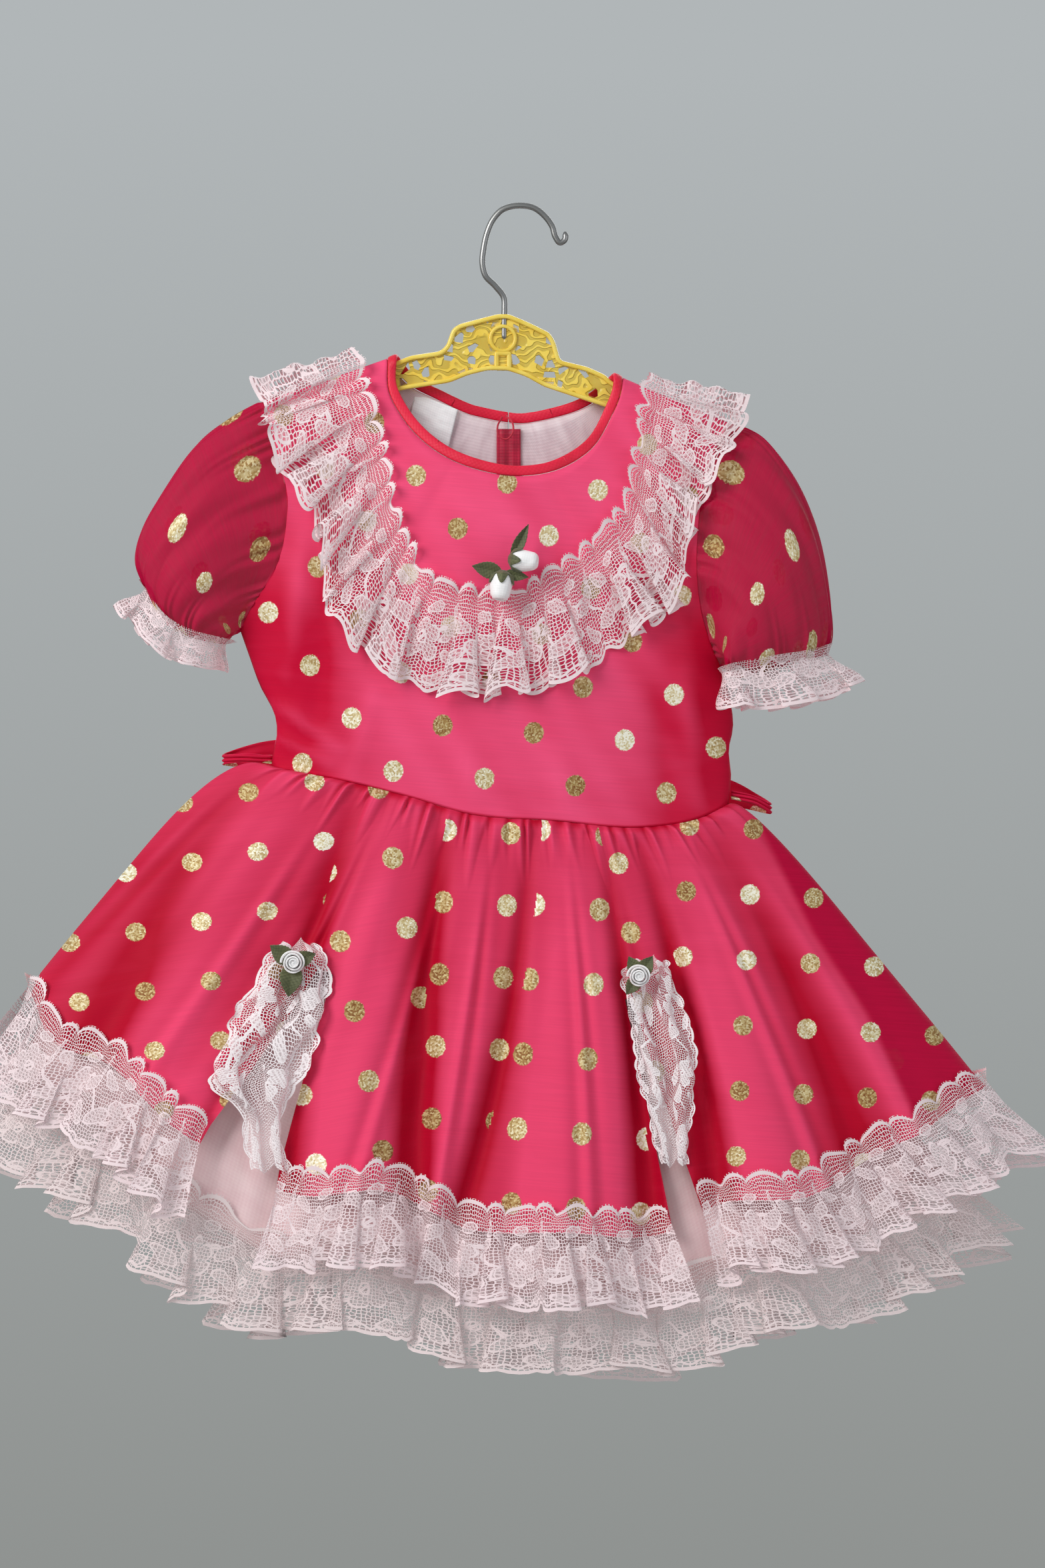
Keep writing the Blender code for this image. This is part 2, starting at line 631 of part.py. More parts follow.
def laid_patch(tree, x, z, side, stand):
    """A grid of points at (x, z), lying at a stand off the walls of a search tree."""
    y = np.array([[lie_on(tree, px, pz, side) for px, pz in zip(*pair)] for pair in zip(x, z)])
    return np.stack([x, y + side * stand, z], -1)


def build_inside_back():
    """Placket strip down the centre back and the plain label."""
    names = ["bodice_back_left", "bodice_back_right", "back_lining_left", "back_lining_right"]
    tree = tree_of(names)
    z = np.linspace(PLACKET_TOP, PLACKET_FOOT, 9)[:, None] * np.ones((1, 3))
    x = np.ones((9, 1)) * np.linspace(*PLACKET, 3)[None]
    stand = THIN_CLOTH / 2 + SEAM
    wall("placket", laid_patch(tree, x, z, -1, stand), THIN_CLOTH, "red_binding")
    corners = np.array(LABEL_CORNERS, float)
    a = np.linspace(0, 1, 4)[None, :, None]
    b = np.linspace(0, 1, 4)[:, None, None]
    flat = (corners[0] * (1 - a) + corners[1] * a) * (1 - b) + (corners[3] * (1 - a) + corners[2] * a) * b
    patch = laid_patch(tree, flat[..., 0], flat[..., 1], -1, LACE / 2 + SEAM)
    wall("label", patch, LACE, "white_lining")


def sleeve_ring(row):
    """One ring of a sleeve from its table row: half ellipses in front and behind."""
    values = dict(zip(SLEEVE_COLUMNS, row))
    top = np.array([values["top_x"], values["top_z"]])
    under = np.array([values["under_x"], values["under_z"]])
    share = armhole_shares()
    line = (under - top) / np.linalg.norm(under - top)
    hand = 1 if top[0] < under[0] else -1
    down = np.array([line[1], -line[0]]) * hand
    flat = top + (under - top) * share[:, None]
    flat = flat + down * values["sag"] * np.sin(math.pi * share)[:, None]
    arc = 2 * np.sqrt(share * (1 - share))
    lap = values["lap"] * share**3 * (1 - share) / LAP_PEAK
    front = np.stack([flat[:, 0] - lap, -values["half_depth"] * arc - LAP_LIFT * lap, flat[:, 1]], -1)
    back = np.stack([flat[:, 0], values["half_depth"] * arc, flat[:, 1]], -1)
    return front, back


def sleeve_grid(rows, armhole):
    """Sleeve as rings: the armhole itself, then the table's rings, which lose its hollow curve."""
    share = armhole_shares()
    edge = curve(armhole, share)
    depth = armhole_depth(share, length_of(armhole))
    depth[[0, -1]] = 0
    first = np.stack([edge[:, 0], -depth, edge[:, 1]], -1)
    hollow = edge - (edge[0] + (edge[-1] - edge[0]) * share[:, None])
    rings = [np.concatenate([first, (first * (1, -1, 1))[-2:0:-1]])]
    for number, row in enumerate(rows, start=1):
        front, back = sleeve_ring(row)
        fade = (1 - number / len(rows)) ** 2
        front[:, [0, 2]] += hollow * fade
        back[:, [0, 2]] += hollow * fade
        rings.append(np.concatenate([front, back[-2:0:-1]]))
    grid = np.array(rings)
    grid[0] = toward(grid[0], grid[1], ARMHOLE_GAP)
    return grid


def outward(points):
    """Normals of a ringed grid, turned away from its middle."""
    normals = sheet_normals(points, True)
    middle = points.mean(axis=1, keepdims=True)
    facing = np.einsum("ijk,ijk->", normals, points - middle)
    return normals * (1 if facing > 0 else -1)


def build_sleeves():
    """Two puff sleeves, each with a gathered lace cuff sewn round its opening."""
    for side, rows, armhole in (("left", SLEEVE_LEFT, ARMHOLE_LEFT), ("right", SLEEVE_RIGHT, ARMHOLE_RIGHT)):
        sleeve = sleeve_grid(rows, armhole)
        wall(f"sleeve_{side}", sleeve, THIN_CLOTH, "crimson_organza", ring=True)
        header = toward(sleeve[-1], sleeve[-2], CUFF_HEADER)
        front, back = sleeve_ring(CUFF_EDGES[side])
        edge = np.concatenate([front, back[-2:0:-1]])
        cuff = np.array([header, sleeve[-1], edge])
        away = outward(cuff)
        away[:2] = outward(sleeve)[-1]
        cuff = np.delete(cuff, [1, -1], axis=1)
        wave = np.arange(cuff.shape[1]) % 2
        stand = np.array(CUFF_STANDS)[:, None] + np.array(CUFF_WAVE_DEPTHS)[:, None] * wave
        cuff = cuff + np.delete(away, [1, -1], axis=1) * stand[..., None]
        wall(f"cuff_lace_{side}", cuff, LACE, "white_lace", ring=True)


def collar_columns(inner, outer, share):
    """Inner and outer points of the collar at shares along its strip."""
    return curve(inner, share), curve(outer, share)


def build_collar():
    """One lace strip: back left, over the shoulder, the front U, over the shoulder, back right."""
    ahead = tree_of(["bodice_front", "neck_binding", "sleeve_left", "sleeve_right"])
    behind = tree_of(["bodice_back_left", "bodice_back_right", "neck_binding", "sleeve_left",
                      "sleeve_right"])
    front_share = np.linspace(0, 1, 2 * COLLAR_WAVES + 1)
    back_share = np.linspace(0, 1, 2 * COLLAR_BACK_WAVES + 1)[1:]
    stretches = [
        (1, behind, *collar_columns(COLLAR_INNER_BACK, COLLAR_OUTER_BACK, back_share[::-1])),
        (-1, ahead, *collar_columns(COLLAR_INNER, COLLAR_OUTER, front_share)),
        (1, behind, *collar_columns(COLLAR_INNER_BACK_RIGHT, COLLAR_OUTER_BACK_RIGHT, back_share)),
    ]
    columns = []
    for side, tree, inner, outer in stretches:
        for near, far in zip(inner, outer):
            strip = []
            wave = len(columns) % 2
            for share, stand, depth in COLLAR_ROWS:
                x, z = near + (far - near) * share
                y = lie_on(tree, x, z, side, COLLAR_SPREAD, over_shoulder(SHOULDER_DEPTH))
                strip.append((x, y + side * (stand + depth * wave), z))
            columns.append(strip)
    grid = np.array(columns).transpose(1, 0, 2)
    for ridge in (2 * COLLAR_BACK_WAVES, 2 * COLLAR_BACK_WAVES + 2 * COLLAR_WAVES):
        grid[:, ridge, 1] = 0
    wall("collar_lace", grid, LACE, "white_lace")


def hem_closing(u):
    """How the skirt's depth closes towards its side seams at the hem."""
    return (1 - np.abs(2 * u - 1) ** 2.6) ** 0.55


def waist_closing(u):
    """How the skirt's depth closes towards its side seams at the waist: half an ellipse."""
    return np.sqrt(np.clip(1 - (2 * u - 1) ** 2, 0, 1))


def narrowed(u, v, narrow):
    """The place along the overskirt that a narrower skirt inside it lies behind."""
    return u - narrow * u**6 * ease(0, 0.3, v)


def skirt_base(side, u, v, narrow):
    """Skirt without folds: straight gore lines from waist to hem, swelling at the sides."""
    place = narrowed(u, v, narrow)
    top = curve(WAIST, place)
    hem = curve(HEM, place)
    round_out = np.sin(math.pi * np.sqrt(np.clip(v, 0, 1)))[..., None]
    swell = np.array(SWELL_LEFT) * ((1 - place) ** 8)[..., None]
    swell = swell + np.array(SWELL_RIGHT) * (place**8)[..., None]
    flat = top + (hem - top) * v[..., None] + swell * round_out
    flat[..., 1] -= WAIST_GAP * (1 - np.clip(v, 0, 1))
    below = (np.clip(v - 1, 0, None) * gore_length(place) * (1 - place) ** 4)[..., None]
    flat = flat + below * np.array(LEFT_FALL)
    fall = np.clip(v, 0, None)
    waist = WAIST_DEPTH * waist_closing(u) * np.clip(1 - fall, 0, 1)
    hem_depth = HEM_DEPTH[side] * hem_closing(u) * fall
    sign = -1 if side == "front" else 1
    return np.stack([flat[..., 0], sign * (waist + hem_depth + SEAM / 2), flat[..., 1]], -1)


def skirt_relief(side, u, v, narrow):
    """Folds, and the overskirt's gathers at the waist, as a height that ends at the side seams."""
    place = narrowed(u, v, narrow)
    folds = FRONT_FOLDS if side == "front" else BACK_FOLDS
    height = np.zeros(np.broadcast(u, v).shape)
    fall = np.clip(v, 0, 1)
    for row in folds:
        at_waist, at_hem, half_width, depth = (row[FOLD_COLUMNS.index(name)] for name in FOLD_COLUMNS)
        centre = at_waist + (at_hem - at_waist) * v
        height = height + depth * np.exp(-((place - centre) / half_width) ** 2) * fall**0.8
    if narrow:
        height = height * UNDERSKIRT_RELIEF
    else:
        fade = np.clip(1 - fall / GATHER_REACH, 0, 1) ** 1.5
        height = height + GATHER_DEPTH * np.cos(math.pi * GATHERS[side] * place) ** 2 * fade
    return height * np.clip(waist_closing(u) * 2.5, 0, 1)


def skirt(side, u, v, out, narrow=0.0):
    """Points of a skirt layer: base, moved outwards by the folds and by out.

    Outwards is level: straight ahead in the middle and sideways at the side seams.
    """
    u, v, out = np.broadcast_arrays(u, v, out)
    sideways = (2 * u - 1) ** 3
    ahead = np.sqrt(1 - sideways**2) * (-1 if side == "front" else 1)
    outwards = np.stack([sideways, ahead, np.zeros_like(ahead)], -1)
    height = skirt_relief(side, u, v, narrow) + out
    return skirt_base(side, u, v, narrow) + outwards * height[..., None]


def gore_length(u):
    """Length of the straight gore line from waist to hem."""
    return np.linalg.norm(curve(HEM, u) - curve(WAIST, u), axis=-1)


def past_hem(u, distance):
    """The v of a place a distance in millimetres below the measured hem."""
    return 1 + distance / gore_length(u)


def notched_hem(u):
    """The overskirt's hem line: a distance below the measured hem, cut by the notches."""
    hem = past_hem(u, HEM_BELOW_HEADER)
    for row in NOTCHES.values():
        left, top_left, top_right, right, reach = row
        rise = np.interp(u, [left, top_left, top_right, right], [0, 1, 1, 0])
        hem = hem - rise * (reach + hem - 1)
    return hem


def spaced(count):
    """Shares across a skirt: closer together at the sides."""
    return 0.35 * ring_shares(count + 1) + 0.65 * np.linspace(0, 1, count + 1)


def lace_shares(start, stop, waves):
    """Shares along a hem at the ridges and valleys of its lace."""
    return np.linspace(start, stop, 2 * waves + 1)


def front_shares():
    """Shares across the overskirt's front: its lace's own, and the corners and flanks of the notches."""
    left, right = NOTCHES["left"], NOTCHES["right"]
    flanks = [left[0] + (left[1] - left[0]) * share for share in NOTCH_FLANKS]
    shares = np.concatenate([lace_shares(0, left[0], OVER_WAVES["left"]), left[:4], right[:4], flanks,
                             lace_shares(left[3], right[0], OVER_WAVES["centre"]),
                             lace_shares(right[3], 1, OVER_WAVES["right"])])
    shares = np.unique(np.round(shares, 6))
    return shares[np.concatenate([[True], np.diff(shares) > 1e-4])]


def underskirt_out(v):
    """The underskirt hangs further in towards its hem."""
    return UNDERSKIRT_OUT - UNDERSKIRT_SINK * ease(0, 0.5, v)


def overskirt_out(v):
    """The overskirt stands further off where the lace of the underskirt lies below it."""
    return OVERSKIRT_OUT + OVERSKIRT_LIFT * ease(0.5, 1.0, v)


def build_skirts():
    """Overskirt with its notches and the plain underskirt, fronts and backs."""
    u = front_shares()[None]
    v = (np.linspace(0, 1, OVERSKIRT_ROWS) ** 1.15)[:, None] * notched_hem(u)
    points = skirt("front", u, v, overskirt_out(v))
    wall("overskirt_front", points, THIN_CLOTH, "hot_pink_organza", side="front")
    u = lace_shares(0, 1, OVER_WAVES["back"])[None]
    v = (np.linspace(0, 1, PLAIN_ROWS) ** 1.15)[:, None] * past_hem(u, HEM_BELOW_HEADER)
    points = skirt("back", u, v, overskirt_out(v))
    wall("overskirt_back", points, THIN_CLOTH, "hot_pink_organza", side="back")
    for side in ("front", "back"):
        u = spaced(UNDERSKIRT_COLUMNS[side])[None]
        v = (np.linspace(0, 1, PLAIN_ROWS) ** 1.15)[:, None] * past_hem(u, UNDERSKIRT_DROP)
        points = skirt(side, u, v, underskirt_out(v), UNDERSKIRT_NARROWING)
        wall(f"underskirt_{side}", points, THIN_CLOTH, "pale_pink_satin", side=side)


def ruffle(name, side, u, rows, base_out, narrow=0.0):
    """Gathered lace along a hem, from a table of drop, stand and wave depth."""
    wave = np.arange(len(u)) % 2
    drop, stand, depth = (column(rows, RUFFLE_COLUMNS, key)[:, None] for key in RUFFLE_COLUMNS)
    v = past_hem(u[None], drop)
    out = base_out + stand + depth * wave[None]
    wall(name, skirt(side, u[None], v, out, narrow), LACE, "white_lace", side=side)


def build_ruffles():
    """Lace on both hems: the overskirt's stops at the notches."""
    over = OVERSKIRT_OUT + OVERSKIRT_LIFT
    left, right = NOTCHES["left"], NOTCHES["right"]
    spans = {"left": (0, left[0]), "centre": (left[3], right[0]), "right": (right[3], 1), "back": (0, 1)}
    for place, (start, stop) in spans.items():
        side = "back" if place == "back" else "front"
        u = lace_shares(start, stop, OVER_WAVES[place])
        ruffle(f"overskirt_lace_{place}", side, u, OVER_RUFFLE, over)
    for side, waves in UNDER_WAVES.items():
        ruffle(f"underskirt_lace_{side}", side, lace_shares(0, 1, waves), UNDER_RUFFLE,
               UNDERSKIRT_OUT - UNDERSKIRT_SINK, UNDERSKIRT_NARROWING)


def build_cascades():
    """Lace that falls in folds down the sides of each notch."""
    tree = tree_of(["overskirt_front", "underskirt_front"])
    for side, rows in CASCADES.items():
        z, left, right = (column(rows, CASCADE_COLUMNS, key)[:, None] for key in CASCADE_COLUMNS)
        across = np.linspace(0, 1, 2 * CASCADE_FOLDS + 1)[None]
        x = left + (right - left) * across
        flat = laid_patch(tree, x, z * np.ones_like(x), -1, CASCADE_STAND)
        outermost = flat[..., 1].min(axis=1)
        padded = np.pad(outermost, 1, mode="edge")
        level = np.minimum(outermost, (padded[:-2] + padded[2:]) / 2)
        fold = np.minimum(right - left, CASCADE_WIDE) / CASCADE_WIDE * CASCADE_DEPTH
        flat[..., 1] = level[:, None] - fold * (np.arange(x.shape[1]) % 2)
        wall(f"swag_lace_{side}", flat, LACE, "white_lace")


def turned(name, profile, centre, axis, segments, material):
    """Turn a profile of (radius, height) round an axis through a centre."""
    axis = np.array(axis, float) / np.linalg.norm(axis)
    side = np.cross(axis, (0.0, 0.0, 1.0) if abs(axis[2]) < 0.9 else (1.0, 0.0, 0.0))
    side /= np.linalg.norm(side)
    other = np.cross(axis, side)
    angle = np.linspace(0, 2 * math.pi, segments, endpoint=False)
    ring = np.cos(angle)[:, None] * side + np.sin(angle)[:, None] * other
    middle = profile[1:-1]
    points = [np.array(centre) + axis * profile[0][1]]
    for radius, height in middle:
        points.extend(np.array(centre) + axis * height + ring * radius)
    points.append(np.array(centre) + axis * profile[-1][1])
    last = len(points) - 1
    triangles = []
    for k in range(segments):
        nxt = (k + 1) % segments
        triangles.append((0, 1 + nxt, 1 + k))
        for row in range(len(middle) - 1):
            a = 1 + row * segments + k
            b = 1 + row * segments + nxt
            triangles.append((a, b, b + segments))
            triangles.append((a, b + segments, a + segments))
        base = 1 + (len(middle) - 1) * segments
        triangles.append((base + k, base + nxt, last))
    return make_object(name, np.array(points), np.array(triangles), material)


def leaf_outline(centre, reaches):
    """Outline of a spray of pointed leaves round a centre, each given as (angle, length)."""
    outline = []
    for angle, length in reaches:
        for turn, share in LEAF_OUTLINE:
            bearing = math.radians(angle + turn)
            outline.append((centre[0] + math.cos(bearing) * length * share,
                            centre[1] + math.sin(bearing) * length * share))
    return outline


def leaf_spray(name, tree, centre, reaches, flower_radius):
    """Flat spray of leaves, with a flower on it, that rests on the walls of a search tree.

    Returns the depth of its middle.
    """
    outline = leaf_outline(centre, reaches)
    under = outline + [((x + centre[0]) / 2, (z + centre[1]) / 2) for x, z in outline] + [centre]
    under += circle(centre, flower_radius, 8)
    y = min(lie_on(tree, x, z, -1, 1.0) for x, z in under) - LEAF / 2 - SEAM
    count = len(outline)
    front = [(x, y - LEAF / 2, z) for x, z in outline] + [(centre[0], y - LEAF / 2, centre[1])]
    back = [(x, point_y + LEAF, z) for x, point_y, z in front]
    triangles = []
    for k in range(count):
        nxt = (k + 1) % count
        triangles.append((k, nxt, count))
        triangles.append((count + 1 + nxt, count + 1 + k, 2 * count + 1))
        triangles.append((nxt, k, count + 1 + k))
        triangles.append((nxt, count + 1 + k, count + 1 + nxt))
    make_object(name, np.array(front + back), np.array(triangles), "green_ribbon", smooth=False)
    return y


def build_roses():
    """Two open ribbon roses at the notches and two buds on the chest, each with leaves."""
    skirt_tree = tree_of(["overskirt_front", "swag_lace_left", "swag_lace_right"])
    for side, row in SKIRT_ROSES.items():
        x, z, radius, height = row
        leaf_y = leaf_spray(f"rose_leaves_{side}", skirt_tree, (x, z), ROSE_LEAVES[side], radius)
        base = leaf_y - LEAF / 2 - SEAM
        profile = [(0, 0)] + [(r * radius, h * height) for r, h in ROSE_PROFILE] + [(0, 0.72 * height)]
        turned(f"rose_{side}", profile, (x, base, z), (0, -1, 0), 14, "white_ribbon")
    chest = tree_of(["bodice_front", "collar_lace"])
    for name, row in CHEST_BUDS.items():
        x, z, radius, length, turn = row
        leaf_y = leaf_spray(f"bud_leaves_{name}", chest, (x, z), BUD_LEAVES[name], length / 2)
        bearing = math.radians(turn)
        axis = (math.cos(bearing), 0, math.sin(bearing))
        base = (x - axis[0] * length / 2, leaf_y - LEAF / 2 - SEAM - radius, z - axis[2] * length / 2)
        profile = [(0, 0)] + [(r * radius, h * length) for r, h in BUD_PROFILE] + [(0, 0.86 * length)]
        turned(f"bud_{name}", profile, base, axis, 12, "white_ribbon")


def ribbon(name, rows, half_columns=1):
    """Ribbon along a path of (x, y, z, half height), its width upright."""
    path = np.array(rows, float)
    share = np.linspace(0, 1, 2 * len(rows))
    line = curve(path, share)
    across = np.linspace(1, -1, 2 * half_columns + 1)[:, None, None]
    up = np.zeros((1, len(share), 3))
    up[..., 2] = line[None, :, 3]
    wall(name, line[None, :, :3] + up * across, THIN_CLOTH, "hot_pink_organza")


def build_sash():
    """Two ties from the side seams to a bow at the back of the waist."""
    for name, rows in SASH_PATHS.items():
        ribbon(name, rows)
    tree = tree_of(["overskirt_back", "bodice_back_left", "bodice_back_right"])
    for name, rows in SASH_TAILS.items():
        z, left, right = (column(rows, CASCADE_COLUMNS, key)[:, None] for key in CASCADE_COLUMNS)
        x = left + (right - left) * np.linspace(0, 1, 3)[None]
        tail = laid_patch(tree, x, z * np.ones_like(x), 1, TAIL_STAND)
        wall(name, tail, THIN_CLOTH, "hot_pink_organza")
    profile = [(0, 0), (5.5, 0), (8, 3.5), (8, 7), (5.5, 10), (0, 10)]
    turned("bow_knot", profile, KNOT_BASE, (0, 1, 0), 12, "hot_pink_organza")


def build_buttons():
    """Three flat buttons down the centre back."""
    tree = tree_of(["bodice_back_left", "bodice_back_right"])
    rim = [(0, 0), (BUTTON_RADIUS, 0), (BUTTON_RADIUS, 0.7 * BUTTON_THICKNESS),
           (0.8 * BUTTON_RADIUS, BUTTON_THICKNESS), (0.6 * BUTTON_RADIUS, 0.7 * BUTTON_THICKNESS),
           (0, 0.7 * BUTTON_THICKNESS)]
    for number, z in enumerate(BUTTON_HEIGHTS, start=1):
        rest = max(lie_on(tree, OPENING_X + dx, z + dz, 1) for dx in (-5, 0, 5) for dz in (-5, 0, 5))
        turned(f"button_{number}", rim, (OPENING_X, rest + SEAM, z), (0, 1, 0), 16, "white_plastic")


def offset_outline(points, distance):
    """Move a closed outline inwards by a distance, square to its edges."""
    points = np.asarray(points, float)
    before = points - np.roll(points, 1, axis=0)
    after = np.roll(points, -1, axis=0) - points
    before /= np.linalg.norm(before, axis=1, keepdims=True)
    after /= np.linalg.norm(after, axis=1, keepdims=True)
    inward_before = np.stack([before[:, 1], -before[:, 0]], 1)
    inward_after = np.stack([after[:, 1], -after[:, 0]], 1)
    mean = inward_before + inward_after
    mean /= np.linalg.norm(mean, axis=1, keepdims=True)
    return points + mean * distance / np.einsum("ij,ij->i", mean, inward_before)[:, None]


def plate(name, outlines, half_depth):
    """Flat plate between y = -half_depth and +half_depth, its first outline cut by the others."""
    outline = bpy.data.curves.new(name, "CURVE")
    outline.dimensions = "2D"
    outline.fill_mode = "BOTH"
    outline.extrude = half_depth * MM
    for points in outlines:
        spline = outline.splines.new("POLY")
        spline.points.add(len(points) - 1)
        spline.use_cyclic_u = True
        for target, (x, z) in zip(spline.points, points):
            target.co = (x * MM, z * MM, 0, 1)
    shape = bpy.data.objects.new(name, outline)
    bpy.context.collection.objects.link(shape)
    bpy.context.view_layer.update()
    mesh = bpy.data.meshes.new_from_object(shape.evaluated_get(bpy.context.evaluated_depsgraph_get()))
    bpy.data.objects.remove(shape, do_unlink=True)
    work = bmesh.new()
    work.from_mesh(mesh)
    bmesh.ops.remove_doubles(work, verts=work.verts, dist=1e-6)
    for vertex in work.verts:
        vertex.co = Vector((vertex.co.x, -vertex.co.z, vertex.co.y))
    bmesh.ops.recalc_face_normals(work, faces=work.faces)
    work.to_mesh(mesh)
    work.free()
    made = bpy.data.objects.new(name, mesh)
    bpy.context.collection.objects.link(made)
    return made


def circle(centre, radius, count=16, squash=1.0):
    """Points round a circle or ellipse in the hanger's plane."""
    angle = np.linspace(0, 2 * math.pi, count, endpoint=False)
    return [(centre[0] + radius * math.cos(a), centre[1] + radius * squash * math.sin(a)) for a in angle]


def box_outline(centre, half_width, half_height):
    """Corners of an upright rectangle."""
    x, z = centre
    return [(x - half_width, z - half_height), (x + half_width, z - half_height),
            (x + half_width, z + half_height), (x - half_width, z + half_height)]


def join_shapes(target, others, operation):
    """Add shapes to a target, or cut them from it, and leave only the target."""
    for other in others:
        step = target.modifiers.new(other.name, "BOOLEAN")
        step.operation = operation
        step.object = other
        other.hide_render = True
        other.display_type = "WIRE"
    bpy.context.view_layer.update()
    mesh = bpy.data.meshes.new_from_object(target.evaluated_get(bpy.context.evaluated_depsgraph_get()))
    target.modifiers.clear()
    target.data = mesh
    for other in others:
        bpy.data.objects.remove(other, do_unlink=True)


def build_hanger():
    """Moulded frame with a rim, a pierced web and a ring, and the wire hook through its top."""
    outline = HANGER_TOP + HANGER_BOTTOM
    frame = plate("hanger_frame", [outline, offset_outline(outline, HANGER_RIM)], HANGER_HALF_DEPTH)
    holes = [circle(RING_CENTRE, RING_RADIUS)]
    top = np.array(HANGER_TOP)
    bottom = np.array(HANGER_BOTTOM[::-1])
    for x, half_width, half_height in PIERCINGS:
        z = (np.interp(x, top[:, 0], top[:, 1]) + np.interp(x, bottom[:, 0], bottom[:, 1])) / 2
        holes.append(circle((x, z), half_width, 8, half_height / half_width))
    web = plate("web", [offset_outline(outline, HANGER_RIM / 2)] + holes, WEB_HALF_DEPTH)
    ring = plate("ring", [circle(RING_CENTRE, RING_RADIUS + RING_WALL), circle(RING_CENTRE, RING_RADIUS)],
                 RING_HALF_DEPTH)
    post = plate("post", [box_outline(POST_CENTRE, *POST_HALF_SIZE)], RING_HALF_DEPTH)
    join_shapes(frame, [web, ring, post], "UNION")
    bpy.ops.mesh.primitive_cylinder_add(vertices=12, radius=(HOOK_WIRE + SEAM) * MM, depth=BORE[1] * MM,
                                        location=(HOOK_ROUTE[1][0] * MM, 0, BORE[0] * MM))
    join_shapes(frame, [bpy.context.object], "DIFFERENCE")
    frame.data.materials.clear()
    frame.data.materials.append(finish("yellow_plastic"))
    wire = bpy.data.curves.new("hanger_hook", "CURVE")
    wire.dimensions = "3D"
    wire.bevel_depth = HOOK_WIRE * MM
    wire.bevel_resolution = 2
    wire.use_fill_caps = True
    route = curve(HOOK_ROUTE, np.linspace(0, 1, 34))
    spline = wire.splines.new("POLY")
    spline.points.add(len(route) - 1)
    for target, (x, z) in zip(spline.points, route):
        target.co = (x * MM, 0, z * MM, 1)
    wire.materials.append(finish("steel_wire"))
    bpy.context.collection.objects.link(bpy.data.objects.new("hanger_hook", wire))


clear_scene()
build_bodice()
build_inside_back()
build_sleeves()
build_collar()
build_skirts()
build_ruffles()
build_cascades()
build_roses()
build_sash()
build_buttons()
build_hanger()
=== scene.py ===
# %% [markdown]
# # A toddler's party dress on its small hanger
# The real dress is sewn from dotted organza, satin and gathered lace, and hangs a little askew.
# The solids of the dress are already modelled and packed. This lesson dresses them: each cloth
# solid is replaced by a thin, finely creased sheet that lies where the solid lies.

# %% Load the imported solids
import math

import bpy
import numpy as np
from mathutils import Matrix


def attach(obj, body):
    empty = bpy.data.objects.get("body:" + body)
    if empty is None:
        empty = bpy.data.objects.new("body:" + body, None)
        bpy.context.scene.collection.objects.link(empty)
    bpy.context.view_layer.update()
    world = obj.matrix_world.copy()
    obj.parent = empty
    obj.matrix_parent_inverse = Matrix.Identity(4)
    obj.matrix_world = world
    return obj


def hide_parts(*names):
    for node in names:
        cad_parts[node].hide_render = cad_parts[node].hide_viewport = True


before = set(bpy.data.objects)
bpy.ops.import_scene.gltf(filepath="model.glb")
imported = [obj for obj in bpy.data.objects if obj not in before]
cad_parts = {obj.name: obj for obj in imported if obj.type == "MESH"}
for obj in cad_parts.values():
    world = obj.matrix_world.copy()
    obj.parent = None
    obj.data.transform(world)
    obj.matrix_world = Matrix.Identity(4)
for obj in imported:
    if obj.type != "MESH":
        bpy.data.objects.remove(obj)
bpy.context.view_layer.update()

MM = 0.001

# %% [markdown]
# Every outline in this lesson was sighted by an eye 1.5 m in front of the hanger, in the
# hanger's own plane. Cloth that stands nearer to the eye looks larger than it is, so one
# function takes each sighted point back to its true place. Two more helpers read a smooth curve
# through a few points, and smooth rows between the rows of a coarse grid.

# %% Sighted points, smooth curves and smooth rows
EYE_DISTANCE = 1500.0
EYE = (0.5, -310.7)


def seen(points):
    """True place of sighted points: x and z shrink towards the eye's line as y comes nearer."""
    points = np.asarray(points, float)
    scale = (EYE_DISTANCE + points[..., 1]) / EYE_DISTANCE
    true = points.copy()
    true[..., 0] = EYE[0] + (points[..., 0] - EYE[0]) * scale
    true[..., 2] = EYE[1] + (points[..., 2] - EYE[1]) * scale
    return true


def hermite(start, end, leave, arrive, t):
    """Cubic from start to end that leaves and arrives with the given slopes."""
    blend = (2 * t**3 - 3 * t**2 + 1) * start + (3 * t**2 - 2 * t**3) * end
    return blend + (t**3 - 2 * t**2 + t) * leave + (t**3 - t**2) * arrive


def curve(points, share):
    """Smooth curve through points, read at shares 0..1 of its length."""
    points = np.asarray(points, float)
    share = np.asarray(share, float)
    steps = np.linalg.norm(np.diff(points, axis=0), axis=1)
    knots = np.concatenate([[0], np.cumsum(steps)]) / steps.sum()
    slopes = np.gradient(points, knots, axis=0)
    found = np.clip(np.searchsorted(knots, share, side="right") - 1, 0, len(knots) - 2)
    width = knots[found + 1] - knots[found]
    t = ((share - knots[found]) / width)[..., None]
    width = width[..., None]
    return hermite(points[found], points[found + 1], width * slopes[found], width * slopes[found + 1], t)


def between(rows, count):
    """Smooth rows through the rows of a coarse grid: the same cubic, on whole rows at a time."""
    rows = np.asarray(rows, float)
    place = np.linspace(0, len(rows) - 1, count)
    found = np.clip(place.astype(int), 0, len(rows) - 2)
    t = (place - found).reshape((-1,) + (1,) * (rows.ndim - 1))
    slopes = np.gradient(rows, axis=0)
    return hermite(rows[found], rows[found + 1], slopes[found], slopes[found + 1], t)


